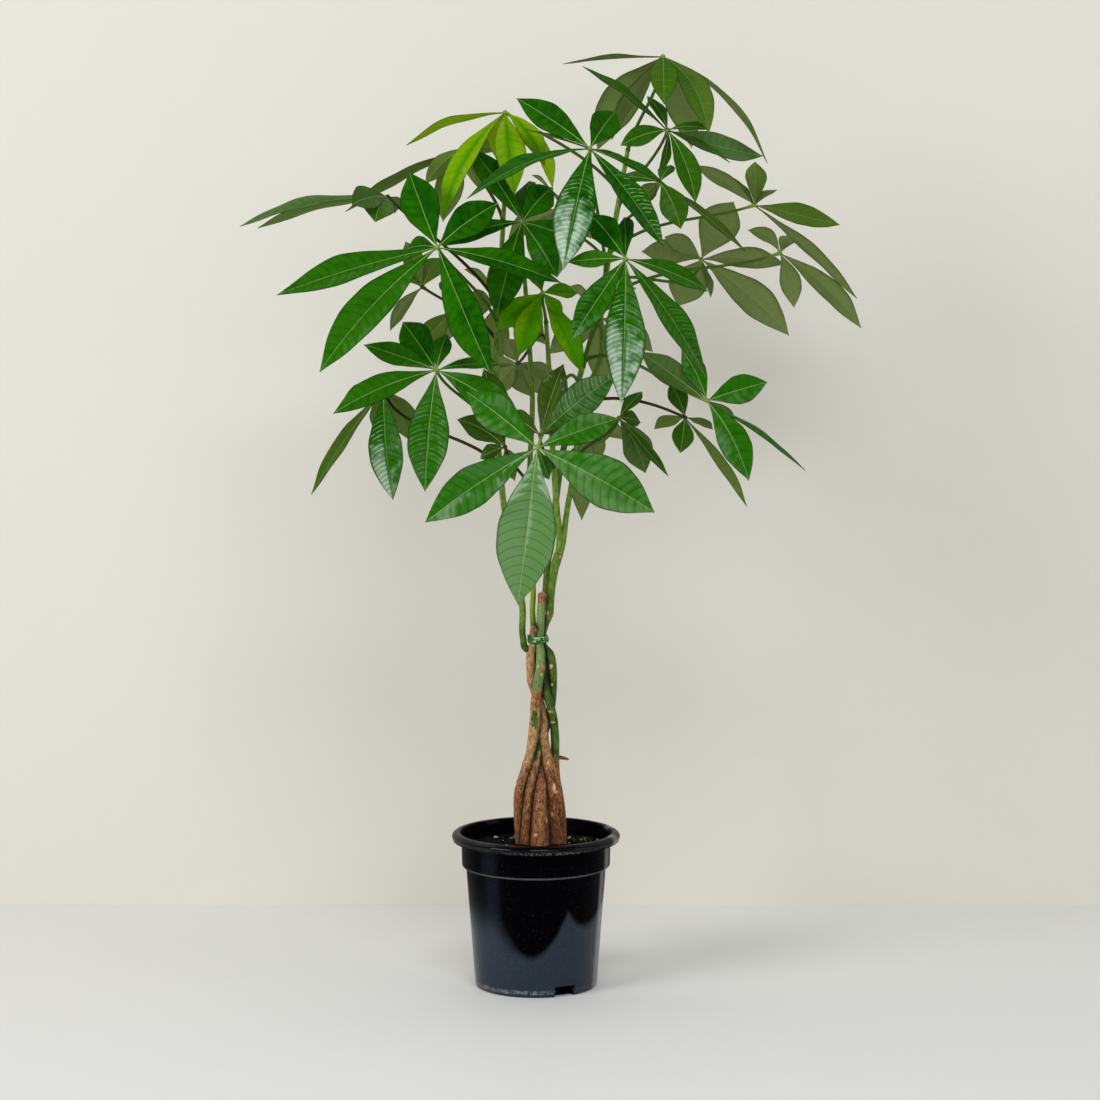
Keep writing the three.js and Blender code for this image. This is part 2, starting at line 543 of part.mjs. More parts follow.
const whole = (parts, grow) => Object.entries(parts)
  .map(([run, places]) => rod(places, run === "trunk" ? STEM_SIDES : SHOOT_SIDES, grow)).reduce((a, b) => a.add(b));

// Stems first: each is pressed in by the tie and by the stems placed before it
const tieRoom = makeTie(GAP);
const stemRoom = {};
const stems = {};
Object.entries(STEMS).forEach(([name, parts]) => {
  const earlier = Object.values(stemRoom);
  stems[name] = mainBody(earlier.reduce((left, room) => left.subtract(room), whole(parts, 0).subtract(tieRoom)));
  stemRoom[name] = whole(parts, GAP);
});

// Stalks next, each swung aside or lifted until it passes clear of what is already there
const placed = Object.entries(stemRoom).map(([name, room]) => entry(room, name));
placed.push(entry(tieRoom, "wire_tie"));
const shifts = STALK_SHIFTS.flatMap((rise) => STALK_SHIFTS.map((sideways) => [sideways, rise]))
  .sort((a, b) => Math.hypot(...a) - Math.hypot(...b));
const leaves = {};
Object.entries(LEAVES).forEach(([name, leaf]) => {
  const { stem } = bearerOf(leaf);
  const others = placed.filter((other) => other.owner !== stem);
  const stalk = (shift, grow) => rod(stalkPlaces(leaf, ...shift), STALK_SIDES, grow).subtract(stemRoom[stem]);
  const shift = shifts.find((pair) => isClear(stalk(pair, 2 * GAP), others));
  if (!shift) {
    throw new Error(`${name}: no clear way for its stalk`);
  }
  leaves[name] = mainBody(stalk(shift, 0));
  placed.push(entry(leaves[name], name));
});

// Leaflets last, each bent off its natural line until it is clear of the rest of the plant, and past its
// base of the other leaflets of its own leaf
const bends = BENDS.flatMap((bend) => SWINGS.map((swing) => [bend, swing]))
  .sort((a, b) => Math.hypot(...a) - Math.hypot(...b));
Object.entries(LEAVES).forEach(([name, leaf]) => {
  const hub = vector(leaf.hub);
  const others = placed.filter((other) => other.owner !== name);
  const sisters = [];
  leaf.leaflets.forEach((leaflet) => {
    const bend = bends.find((pair) => isClear(blade(hub, leaf.face, leaflet, pair, 2 * GAP), others)
      && isClear(blade(hub, leaf.face, leaflet, pair, GAP, BASE_SHARE), sisters));
    if (!bend) {
      throw new Error(`${name}: no clear place for leaflet ${leaflet}`);
    }
    const shape = blade(hub, leaf.face, leaflet, bend);
    placed.push(entry(shape, name));
    sisters.push(entry(shape, name));
    leaves[name] = leaves[name].add(shape);
  });
});

const finish = (color, roughness, metalness = 0) => new THREE.MeshStandardMaterial({ color, roughness, metalness });
const LOOKS = {
  pot: finish(0x0d0f12, 0.25),
  soil: finish(0x17120d, 0.95),
  wire: finish(0x1f6b2c, 0.3),
  bark: finish(0x6f5136, 0.8),
  leaf: finish(0x2c6a17, 0.35),
  young: finish(0x7ba617, 0.4),
  back: finish(0x566b30, 0.5),
};

const YOUNG = ["leaf_young", "leaf_middle"];
const lookOf = (name) => {
  if (YOUNG.includes(name)) {
    return LOOKS.young;
  }
  return LEAVES[name].hub[1] > 50 ? LOOKS.back : LOOKS.leaf;
};

const tree = new THREE.Group();

function add(name, shape, look) {
  const mesh = shape.getMesh();
  const geometry = new THREE.BufferGeometry();
  geometry.setAttribute("position", new THREE.Float32BufferAttribute(mesh.vertProperties, 3));
  geometry.setIndex(Array.from(mesh.triVerts));
  geometry.computeVertexNormals();
  const piece = new THREE.Mesh(geometry, look);
  piece.name = name;
  tree.add(piece);
}

add("pot", makePot(), LOOKS.pot);
add("soil", makeSoil(Object.values(stemRoom)), LOOKS.soil);
Object.entries(stems).forEach(([name, shape]) => add(name, shape, LOOKS.bark));
add("wire_tie", makeTie(), LOOKS.wire);
Object.entries(leaves).forEach(([name, shape]) => add(name, shape, lookOf(name)));

export default tree;
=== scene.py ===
# %% [markdown]
# # A potted money tree
#
# The real thing is a young houseplant: five thin stems braided into one trunk, held by a wire tie, in a
# black nursery pot. Each leaf is a hand of four to eight glossy leaflets on a long stalk.
#
# The solid model already says where every piece is and how large it is. Here each solid gets a finer
# stand-in of the same form: leaflets with puckered blades, stems with bark, a pot with a rolled lip. We
# load the solid model first and keep its box, so that we can check at the end that nothing outgrew it.

import math

import bpy
import numpy as np
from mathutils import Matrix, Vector


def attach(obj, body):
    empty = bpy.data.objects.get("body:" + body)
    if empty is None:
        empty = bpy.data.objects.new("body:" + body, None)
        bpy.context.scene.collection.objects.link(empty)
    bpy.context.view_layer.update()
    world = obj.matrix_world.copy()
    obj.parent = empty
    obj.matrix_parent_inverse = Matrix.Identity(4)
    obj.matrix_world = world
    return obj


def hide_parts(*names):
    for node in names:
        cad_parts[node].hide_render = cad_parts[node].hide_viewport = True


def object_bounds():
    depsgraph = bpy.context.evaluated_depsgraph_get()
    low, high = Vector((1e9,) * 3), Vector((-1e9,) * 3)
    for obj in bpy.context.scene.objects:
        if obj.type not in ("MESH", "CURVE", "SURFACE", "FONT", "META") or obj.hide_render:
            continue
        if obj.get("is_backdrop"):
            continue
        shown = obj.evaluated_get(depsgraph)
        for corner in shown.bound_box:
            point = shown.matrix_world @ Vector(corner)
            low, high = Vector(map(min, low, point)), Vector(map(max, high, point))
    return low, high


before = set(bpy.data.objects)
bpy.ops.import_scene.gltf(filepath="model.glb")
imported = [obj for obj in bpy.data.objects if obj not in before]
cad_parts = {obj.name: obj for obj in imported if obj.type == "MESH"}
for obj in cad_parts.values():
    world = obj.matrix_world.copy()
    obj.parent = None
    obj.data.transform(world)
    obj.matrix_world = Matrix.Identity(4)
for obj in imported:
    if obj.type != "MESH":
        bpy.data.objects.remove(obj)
solid_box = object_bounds()
sides = [round(1000 * (high - low)) for low, high in zip(*solid_box)]
print("solid model:", sides, "mm,", len(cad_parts), "solids")

# %% [markdown]
# ## The floor, the wall and the camera
#
# The plant stands on a pale floor in front of a pale wall, which are a stage and no part of it. Both could
# be bare planes with one colour, but a faint unevenness keeps them from looking like paper. The wall is
# made one-sided in its finish, so that a view from behind looks through it.
#
# The camera stands nearly three metres off with a long lens, level with the upper leaves and looking down
# by six degrees. That far off, the near and far leaves keep their true proportions.

# %% Place the camera
CAMERA_PLACE = (0.0127, -2.860, 0.695)
LOOK_DOWN = 5.96
camera = bpy.data.objects.new("camera", bpy.data.cameras.new("camera"))
camera.data.lens = 105
camera.data.sensor_width = 36
camera.location = CAMERA_PLACE
camera.rotation_euler = (math.radians(90 - LOOK_DOWN), 0, 0)
bpy.context.scene.collection.objects.link(camera)
bpy.context.scene.camera = camera
print("camera:", CAMERA_PLACE, "m, looking down by", LOOK_DOWN, "degrees")

# %% [markdown]
# ## Writing finishes as sums
#
# A finish is a net of nodes, and most of its nodes only do arithmetic. Wiring those one by one hides what
# they mean. So a socket is wrapped in a small class whose operators add the Math nodes, and a mask can be
# written as it is thought: `1 - shine * dust`. Every other node comes from one method, which takes its
# kind, its settings and what goes into its sockets.

# %% A value that varies over a surface
class Value:
    def __init__(self, finish, socket):
        self.finish = finish
        self.socket = socket

    def work(self, operation, first, second=0.0):
        return self.finish.node("ShaderNodeMath", {"operation": operation}, {0: first, 1: second})

    def __add__(self, other):
        return self.work("ADD", self, other)

    def __sub__(self, other):
        return self.work("SUBTRACT", self, other)

    def __rsub__(self, other):
        return self.work("SUBTRACT", other, self)

    def __mul__(self, other):
        return self.work("MULTIPLY", self, other)

    def __truediv__(self, other):
        return self.work("DIVIDE", self, other)

    def __pow__(self, other):
        return self.work("POWER", self, other)

    def __abs__(self):
        return self.work("ABSOLUTE", self)

    __radd__ = __add__
    __rmul__ = __mul__

# %% A finish and its nodes
class Finish:
    def __init__(self, name, **constants):
        self.material = bpy.data.materials.new(name)
        self.material.use_nodes = True
        self.tree = self.material.node_tree
        self.shader = self.tree.nodes["Principled BSDF"]
        self.feed(self.shader, constants)

    def feed(self, node, inputs):
        for key, value in inputs.items():
            socket = node.inputs[key]
            if isinstance(value, Value):
                self.tree.links.new(value.socket, socket)
            else:
                socket.default_value = value

    def node(self, kind, settings=None, inputs=None, output=0):
        made = self.tree.nodes.new(kind)
        for key, value in (settings or {}).items():
            setattr(made, key, value)
        self.feed(made, inputs or {})
        return Value(self, made.outputs[output])

    def kept(self, name):
        return self.node("ShaderNodeAttribute", {"attribute_name": name}, output="Fac")

    def place(self):
        return self.node("ShaderNodeTexCoord", output="Object")

    def place_along(self, axis):
        return self.node("ShaderNodeSeparateXYZ", inputs={0: self.place()}, output=axis)

    def place_drawn_out(self, share):
        """The place with its height squeezed, so that a noise on it is drawn out into upright grain."""
        return self.node("ShaderNodeMapping", inputs={0: self.place(), 3: (1.0, 1.0, share)})

    def noise(self, scale, detail=2.0, at=None, roughness=0.5):
        inputs = {"Vector": at or self.place(), "Scale": scale, "Detail": detail, "Roughness": roughness}
        return self.node("ShaderNodeTexNoise", inputs=inputs)

    def ease(self, value, low, high):
        """0 up to low, 1 from high, and a soft step between them."""
        inputs = {"Value": value, "From Min": low, "From Max": high}
        return self.node("ShaderNodeMapRange", {"interpolation_type": "SMOOTHSTEP"}, inputs)

    def near(self, value, middle, inner, outer):
        """1 where the value is within inner of the middle, falling to 0 at outer."""
        return 1 - self.ease(abs(value - middle), inner, outer)

    def blend(self, share, first, second):
        return self.node("ShaderNodeMix", {"data_type": "RGBA"}, {0: share, 6: first, 7: second}, 2)

    def layered(self, shade, *layers):
        """Lays tints over a shade, one after another, each as strongly as its mask says."""
        for mask, tint in layers:
            shade = self.blend(mask, shade, tint)
        return shade

    def bump(self, height, millimetres):
        return self.node("ShaderNodeBump", inputs={"Height": height, "Distance": millimetres * 0.001})

    def done(self, **fed):
        self.feed(self.shader, {key.replace("_", " "): value for key, value in fed.items()})
        print("finish:", self.material.name, "with", len(self.tree.nodes), "nodes")
        return self.material


def colour(red, green, blue, strength=1.0):
    """A colour as a screen shows it, 0 to 255, turned into the light values that Blender works in."""
    shares = [c / 255 for c in (red, green, blue)]
    light = [share / 12.92 if share <= 0.04 else ((share + 0.055) / 1.055) ** 2.4 for share in shares]
    return (*(strength * value for value in light), 1.0)

# %% Floor and wall
WALL_BEHIND = 0.336
STAGE_HALF = 3.0


def plaster(name, tint, one_sided=False):
    finish = Finish(name, Roughness=0.75)
    cloudy = finish.noise(2.2, 3.0)
    grain = finish.noise(90.0, 4.0)
    shade = finish.blend(cloudy * 0.5, colour(*tint), colour(*tint, 0.93))
    if one_sided:
        front = 1 - finish.node("ShaderNodeNewGeometry", output="Backfacing")
        return finish.done(Base_Color=shade, Normal=finish.bump(grain, 0.3), Alpha=front)
    return finish.done(Base_Color=shade, Normal=finish.bump(grain, 0.2), Roughness=0.55 + cloudy * 0.2)


def stage_plane(name, near_edge, far_edge, material):
    """A plane between two level edges, each given as its place in depth and its height."""
    edges = ((near_edge, (-1, 1)), (far_edge, (1, -1)))
    corners = [(STAGE_HALF * side, *edge) for edge, sides in edges for side in sides]
    mesh = bpy.data.meshes.new(name)
    mesh.from_pydata(corners, [], [(0, 1, 2, 3)])
    mesh.materials.append(material)
    plane = bpy.data.objects.new(name, mesh)
    bpy.context.scene.collection.objects.link(plane)
    plane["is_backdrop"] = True


pale_floor = plaster("pale_floor", (236, 236, 236))
pale_wall = plaster("pale_wall", (221, 218, 209), one_sided=True)
stage_plane("floor", (-STAGE_HALF, 0), (STAGE_HALF, 0), pale_floor)
stage_plane("wall", (WALL_BEHIND, 0), (WALL_BEHIND, STAGE_HALF), pale_wall)

# %% [markdown]
# ## Soft light
#
# Indoors, a plant by a window gets one broad, slightly warm light from the side and a cooler one from the
# ceiling. A sun lamp would give hard shadows and no sheen, and large area lamps give soft shadows and a
# sheen. The one overhead is what the glossy blades mirror, the one on the left rounds the stems and throws
# the shadow to the right, and two more fill the shade, as the walls of a pale room do.

# %% Hang the lamps
def lamp(name, place, target, size, power, tint):
    light = bpy.data.lights.new(name, "AREA")
    light.shape = "RECTANGLE"
    light.size, light.size_y = size
    light.energy = power
    light.color = tint
    holder = bpy.data.objects.new(name, light)
    holder.location = place
    holder.rotation_euler = (Vector(target) - Vector(place)).to_track_quat("-Z", "Y").to_euler()
    bpy.context.scene.collection.objects.link(holder)


lamp("window_left", (-3.0, -2.4, 1.9), (0, 0, 0.5), (2.0, 1.8), 92, (1.0, 0.98, 0.95))
lamp("ceiling", (0.15, -1.5, 1.9), (0, -0.05, 0.55), (0.8, 0.45), 14, (0.94, 0.98, 1.0))
lamp("room_front", (0.9, -4.3, 1.4), (0, 0, 0.4), (3.0, 2.0), 34, (1.0, 0.99, 0.97))
lamp("room_right", (2.4, -0.9, 0.9), (0, 0, 0.4), (1.4, 1.4), 9, (1.0, 0.98, 0.94))
room = bpy.data.worlds.new("room")
room.use_nodes = True
sky = room.node_tree.nodes["Background"].inputs
sky["Color"].default_value = (0.86, 0.88, 0.90, 1)
sky["Strength"].default_value = 0.2
bpy.context.scene.world = room
bpy.context.scene.view_settings.view_transform = "Standard"

# %% [markdown]
# ## Forms made of rings
#
# Nearly everything on a plant is a run of rings: a stem, a stalk, and a leaflet too, whose ring is just
# very flat. Sculpting would work, but rings that are worked out from a few numbers stay exactly on the
# solid model. A form keeps its points in millimetres, the faces between them, and a few numbers for each
# point, such as how far along a leaflet it is, which the finish reads later.

# %% Forms, and the pieces made from them
MM = 0.001


class Form:
    def __init__(self, points, faces, **kept):
        self.points = points.reshape(-1, 3)
        self.faces = faces
        self.kept = {name: np.broadcast_to(value, points.shape[:-1]).ravel() for name, value in kept.items()}


def ringed(points, capped=True, **kept):
    """A form from rows of rings, every ring running the same way round."""
    rows, columns = points.shape[:2]
    faces = []
    for low in range(0, (rows - 1) * columns, columns):
        for k, after in enumerate([*range(1, columns), 0]):
            faces.append((low + k, low + after, low + columns + after, low + columns + k))
    if capped:
        faces.append(tuple(range(columns))[::-1])
        faces.append(tuple(range((rows - 1) * columns, rows * columns)))
    return Form(points, faces, **kept)


def together(forms):
    faces, start = [], 0
    for form in forms:
        faces += [tuple(corner + start for corner in face) for face in form.faces]
        start += len(form.points)
    kept = {name: np.concatenate([form.kept[name] for form in forms]) for name in forms[0].kept}
    return Form(np.vstack([form.points for form in forms]), faces, **kept)


def dress(name, form, material, stands_for=None, sharp=None):
    """Makes the piece, lets it ride on the plant and, where it stands for a solid, hides that solid."""
    mesh = bpy.data.meshes.new(name)
    mesh.from_pydata((form.points * MM).tolist(), [], form.faces)
    for key, values in form.kept.items():
        mesh.attributes.new(key, "FLOAT", "POINT").data.foreach_set("value", values.astype(np.float32))
    mesh.polygons.foreach_set("use_smooth", [True] * len(mesh.polygons))
    if sharp:
        mesh.set_sharp_from_angle(angle=math.radians(sharp))
    mesh.materials.append(material)
    piece = bpy.data.objects.new(name, mesh)
    bpy.context.scene.collection.objects.link(piece)
    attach(piece, "root")
    if stands_for:
        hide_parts(stands_for)
    return piece


def unit(vector):
    vector = np.asarray(vector, float)
    return vector / np.maximum(np.linalg.norm(vector, axis=-1, keepdims=True), 1e-9)

# %% A smooth run through a few places
def smooth_run(places, step):
    """Curves through [x, y, z, radius] places, with a point about every "step" millimetres."""
    places = np.asarray(places, float)
    gaps = np.linalg.norm(np.diff(places[:, :3], axis=0), axis=1)
    slopes = np.diff(places, axis=0) / gaps[:, None]
    leads = np.vstack([slopes[:1], (slopes[:-1] * gaps[1:, None] + slopes[1:] * gaps[:-1, None])
                       / (gaps[1:] + gaps[:-1])[:, None], slopes[-1:]])
    run = []
    for i, gap in enumerate(gaps):
        t = np.linspace(0, 1, max(2, round(gap / step)) + 1)[:-1, None]
        run.append(places[i] * (1 + 2 * t) * (1 - t) ** 2 + leads[i] * gap * t * (1 - t) ** 2
                   + places[i + 1] * t ** 2 * (3 - 2 * t) + leads[i + 1] * gap * t ** 2 * (t - 1))
    run.append(places[-1:])
    return np.vstack(run)


def tube(run, sides):
    """Rings round a run: their points, the outward way of each, and the angle of each round the run."""
    centres, radii = run[:, :3], run[:, 3]
    ways = unit(np.gradient(centres, axis=0))
    angles = np.arange(sides) * 2 * math.pi / sides
    side = unit(np.cross((0, 1, 0), ways[0]) + (1e-6, 0, 0))
    outward = np.empty((len(run), sides, 3))
    for i, way in enumerate(ways):
        side = unit(side - way * (side @ way))
        up = np.cross(way, side)
        outward[i] = side * np.cos(angles)[:, None] + up * np.sin(angles)[:, None]
    points = centres[:, None] + outward * radii[:, None, None]
    return points, outward, np.broadcast_to(angles, (len(run), sides))


test_run = smooth_run([[0, 0, 0, 2], [0, 0, 10, 3], [5, 0, 20, 2]], 2)
print("a run through 3 places has", len(test_run), "rings")

# %% [markdown]
# ## The nursery pot
#
# The pot is thin black plastic: a tapered body, a ledge, a straight collar and a lip that rolls
# outwards and down, with three drain notches cut into the foot. A cylinder with a few loops could stand
# in, but the highlights would show its straight sides at once. So its outline is turned round the axis in
# small steps, with the lip and the ledge properly rounded. A notch needs no boolean: between its two
# edges, the foot's outline simply steps in and up.

# %% The pot's outline
LEDGE_Z, BODY_TOP_R, FOOT_R = 109.6, 63.2, 55.2
NOTCH_ANGLES = (-61.5, 58.5, 178.5)
NOTCH_HALF = math.degrees(10 / FOOT_R)
NOTCH_TOP, NOTCH_BACK = 9.2, 48.4


def body_radius(z):
    return FOOT_R + (BODY_TOP_R - FOOT_R) * (z - 2.2) / (LEDGE_Z - 3.2)


def arc(centre_r, centre_z, radius, start, end, count):
    turns = np.radians(np.linspace(start, end, count))
    return [(centre_r + radius * math.cos(a), centre_z + radius * math.sin(a)) for a in turns]


foot = [(0.0, 0.3), (44, 0.3), (NOTCH_BACK, 0.0), (51.5, 0.0), (53.6, 0.15), (54.9, 1.0), (55.35, 3.4),
        (55.6, 7.4)]
foot_notched = [(0.0, 0.3), (44, 0.3), (46.8, 0.0), (47.9, 0.6), (NOTCH_BACK, 4.0), (NOTCH_BACK, 8.0),
                (49.2, NOTCH_TOP - 0.2), (54.6, NOTCH_TOP)]
body = [(body_radius(z), z) for z in (9.7, 14, 25, 40, 55, 70, 85, 97, 106.2)]
ledge = [(63.2, -1.6), (63.7, -0.6), (64.8, -0.1), (66.0, 0.2), (66.7, 0.9), (67.0, 2.2)]
ledge = [(r, LEDGE_Z + above) for r, above in ledge]
collar = [(67.05, 114), (67.15, 119), (67.25, 124), (67.35, 130), (67.5, 134.6), (68.2, 136.2)]
lip_under = [(70.2, 135.9), (72.6, 134.6), (73.9, 133.4), (74.9, 133.0)]
lip = arc(73.4, 136.9, 2.6, -40, 60, 8) + [(73.6, 140.2), (71.6, 140.8), (69.6, 140.6)]
mouth = arc(69.4, 138.8, 1.9, 100, 180, 5)
mouth += [(67.3, 136.6), (65.9, 132.5), (65.0, 128), (64.8, 118), (64.8, 112)]
inside = [(64.2, 110.2), (61.4, 108.2), (61.0, 105.6), (58.6, 70), (56.2, 40), (54.0, 15), (53.4, 10.9),
          (46.0, 10.6), (45.6, 2.6), (0.0, 2.3)]
outer = body + ledge + collar + lip_under + lip + mouth + inside
print("the pot's outline:", len(foot) + len(outer), "points,", round(2 * max(r for r, z in outer)), "mm wide")

# %% Turn the outline into the pot
columns = []
for middle in NOTCH_ANGLES:
    start, end = middle - NOTCH_HALF, middle + NOTCH_HALF
    columns += [(angle, True) for angle in np.linspace(start, end, 9)]
    columns += [(angle, False) for angle in np.linspace(end + 0.05, start + 119.95, 42)]
angles, notched = map(np.array, zip(*columns))
plain_profile, notched_profile = (np.array(start + outer)[:, None] for start in (foot, foot_notched))
r, z = np.moveaxis(np.where(notched[:, None], notched_profile, plain_profile), -1, 0)
turn = np.radians(angles)
pot_points = np.stack([r * np.cos(turn), r * np.sin(turn), z], -1)


def between(start, end):
    """1 on the points of the outline from start up to end, 0 on the others."""
    places = np.arange(len(pot_points))[:, None]
    return ((places >= start) & (places < end)).astype(float)


lip_start = len(foot + body + ledge + collar + lip_under)
outside = between(5, len(pot_points) - len(inside) - 5)
pot_form = ringed(pot_points, capped=False, side=np.cos(turn), lip=between(lip_start - 1, lip_start + 1),
                  brim=between(lip_start, lip_start + len(lip)),
                  outside=np.where(notched, outside * between(len(foot), len(pot_points)), outside))
print("the pot has", len(pot_form.faces), "faces")

# %% [markdown]
# ### Black plastic
#
# New nursery pots are glossy, yet never clean. The body mirrors the pale floor in a cool grey, partly
# through a clear coat and partly as a painted reflection: a blue-grey tint in soft lobes, with the coat
# weighted by the same lobes. A painted highlight runs as a soft band on the upper left and a narrow strip
# near the right edge, and a broken pale line under the lip is a painted highlight too. The collar stays
# black, the ledge and the foot are rubbed pale, and fine specks cling to the plastic. One dark glossy
# material would miss all of it. The rubbed places come from the height on the pot and a fine noise.

# %% Finish the pot
def black_plastic():
    finish = Finish("black_plastic", **{"Specular IOR Level": 0.015, "Coat Roughness": 0.05, "Coat IOR": 1.5})
    across, up = finish.place_along("X") * 1000, finish.place_along("Z") * 1000
    outside, side = finish.kept("outside"), finish.kept("side")

    # Painted reflection: soft lobes on the lower body, where the pale floor shows as a cool grey tint and the
    # clear coat is weighted the same way.
    broad_lobe = 38 + ((across + 3.6) / 32.6) ** 2 * 42
    narrow_lobe = 64 + ((across - 44) / 15) ** 2 * 16
    painted_reflection_top = finish.node("ShaderNodeMath", {"operation": "MINIMUM"}, {0: broad_lobe, 1: narrow_lobe})
    painted_reflection_top = painted_reflection_top + (finish.noise(40.0, 2.0) - 0.5) * 6
    softness = 4 + (1 - finish.ease(across, -36.0, -10.0)) * 16
    painted_reflection = (1 - finish.ease((up - painted_reflection_top) / softness, -1.6, 0.8)) * (1 - finish.ease(up, 62.0, 106.0))
    left_fade = finish.ease(up, 46.0, 86.0) * (1 - finish.ease(across, -22.0, 10.0)) * 0.9
    painted_reflection = painted_reflection * (1 - left_fade) * outside
    # Painted highlights: a narrow pale strip near the right edge and a soft blue-grey band on the upper left.
    glint = finish.near(side, 0.945, 0.012, 0.04) * outside
    left_glint = finish.near(side, -0.62, 0.03, 0.16) * finish.ease(up, 8.0, 60.0) * outside

    specks = finish.ease(finish.noise(900.0, 2.0), 0.66, 0.76)
    rubbing = finish.noise(260.0, 3.0)
    ledge_line = finish.near(up, 109.8, 0.6, 1.5) * finish.ease(rubbing, 0.2, 0.5)
    # Painted highlight: a broken pale line under the lip, strongest at the front. It is laid on together with
    # the rubbed ledge and foot and the specks.
    lip_highlight = finish.ease(finish.kept("lip"), 0.6, 1.0) * finish.ease(finish.noise(520.0, 2.0), 0.42, 0.6)
    lip_highlight = lip_highlight * (1 - finish.ease(abs(across - 12), 12.0, 50.0) * 0.85)
    scuffs = finish.ease(finish.noise(1600.0, 2.0) + (rubbing - 0.5) * 0.7, 0.46, 0.62)
    foot_line = finish.near(up, 4.6, 0.8, 2.6) * scuffs * (1 - finish.ease(side, 0.1, 0.5) * 0.7)
    wear_and_lip_highlight = (ledge_line * 0.28 + lip_highlight * 0.2 + foot_line * 0.55 + specks * 0.10) * outside
    wear_and_lip_highlight = finish.node("ShaderNodeClamp", inputs={0: wear_and_lip_highlight})

    # The two blue-greys of the painted reflection, mottled by a fine noise.
    dust_and_reflection_mottle = finish.ease(finish.noise(1500.0, 1.0), 0.3, 0.7)
    reflection_tint = finish.blend(dust_and_reflection_mottle, colour(12, 24, 38), colour(32, 46, 62))
    shade = finish.layered(colour(0, 0, 2), (left_glint * 0.5, colour(10, 16, 30)), (painted_reflection, reflection_tint),
                           (glint * 0.5, colour(86, 90, 92)), (wear_and_lip_highlight, colour(160, 166, 170)))
    streaks = finish.noise(420.0, 3.0, finish.place_drawn_out(0.12))
    coat = outside * 0.01 + painted_reflection * 0.6 + glint * 0.5 + left_glint * 0.12 + finish.kept("brim") * 0.3
    return finish.done(Base_Color=shade, Roughness=0.36 + streaks * 0.16 + wear_and_lip_highlight * 0.4, Coat_Weight=coat,
                       Normal=finish.bump(finish.noise(60.0, 2.0), 0.08))


pot_piece = dress("pot_shell", pot_form, black_plastic(), "pot", sharp=50)
print("pot:", [round(1000 * side) for side in pot_piece.dimensions], "mm")

# %% [markdown]
# ## Potting mix and perlite
#
# The mix is dark peat and bark fines, watered often enough to be nearly black, with white grains of
# perlite. A displaced disc gives the crumbled surface, and small separate crumbs break its outline. Each
# crumb is a ball of rings whose points are pushed about, so no two are alike.

# %% The crumbled surface
SOIL_R, SOIL_FOOT_Z = 64.4, 112.0
SPOKES = 200
chance = np.random.default_rng(7)


def ripples(x, y, scale, seed):
    """A cheap smooth noise: waves of one size that cross at many angles."""
    dice = np.random.default_rng(seed)
    total = 0.0
    for _ in range(9):
        angle, phase = dice.uniform(0, 2 * math.pi, 2)
        total += np.sin((x * math.cos(angle) + y * math.sin(angle)) * 2 * math.pi / scale + phase)
    return total / 4


def soil_height(x, y):
    r = np.hypot(x, y)
    mound = np.interp(r, [0, 30, 48, SOIL_R], [130.5, 130, 128, 127])
    fine = 0.55 * ripples(x, y, 13, 1) + 0.45 * ripples(x, y, 5.5, 2) + 0.3 * ripples(x, y, 2.6, 3)
    return mound + fine * np.clip((SOIL_R - r) / 4, 0.25, 1)


spokes = np.arange(SPOKES) * 2 * math.pi / SPOKES
reaches = np.concatenate([[0.6], np.arange(1.6, SOIL_R, 1.05), [SOIL_R]])[:, None]
ground_x, ground_y = reaches * np.cos(spokes), reaches * np.sin(spokes)
ground = np.stack([ground_x, ground_y, soil_height(ground_x, ground_y)], -1)[::-1]
skirt = np.stack([ground_x[-1], ground_y[-1], np.full(SPOKES, SOIL_FOOT_Z)], -1)
ground_form = ringed(np.vstack([skirt[None], ground]))
print("potting mix:", len(ground_form.faces), "faces")

# %% Crumbs and grains
def grain(x, y, size, lift, flat=0.8, rough=0.22, rings=6, sides=8):
    """A lumpy pebble on the mix: a ball of rings whose points are pushed in and out."""
    tilt = np.linspace(0.12, math.pi - 0.12, rings)[::-1]
    turn = np.arange(sides) * 2 * math.pi / sides + chance.uniform(0, 6)
    ball = np.stack([np.sin(tilt)[:, None] * np.cos(turn), np.sin(tilt)[:, None] * np.sin(turn),
                     np.broadcast_to(np.cos(tilt)[:, None] * flat, (rings, sides))], -1)
    ball *= 1 + chance.uniform(-rough, rough, (rings, sides, 1))
    stretch = np.array([chance.uniform(0.8, 1.3), chance.uniform(0.8, 1.3), 1]) * size
    return ringed(ball * stretch + (x, y, soil_height(x, y) + size * lift))


def strewn(count, spread, sizes, lift):
    """Grains strewn over the mix, as far out as the spread says."""
    grains = []
    for _ in range(count):
        angle, reach = chance.uniform(0, 2 * math.pi), SOIL_R * math.sqrt(chance.uniform(*spread))
        grains.append(grain(reach * math.cos(angle), reach * math.sin(angle), chance.uniform(*sizes), lift))
    return grains


crumbs = strewn(420, (0.05, 0.93), (0.5, 1.6), 0.2)
soil_form = together([ground_form] + crumbs)

PERLITE = [(-37, 31, 1.5), (-35.5, 36, 1.0), (-31, 35, 1.1), (-21, 25, 0.7), (-19, 36, 1.2), (-18.5, 29, 1.1),
           (-23, 20, 0.6), (30.5, 34, 1.1), (33.5, 27, 0.9), (29.5, 22, 0.8), (41, 24, 0.8), (56, 30, 0.9),
           (-44, 12, 0.6), (-12, -20, 0.5), (35, 16, 0.6)]
grains = [grain(x, y, size, 0.35) for x, y, size in PERLITE] + strewn(34, (0.1, 0.9), (0.35, 0.9), 0.3)
perlite_form = together(grains)
print("crumbs:", len(crumbs), "perlite grains:", len(grains))

# %% Finish the mix and the perlite
LITTER_PLACE = (0.047, 0.034, 0.129)


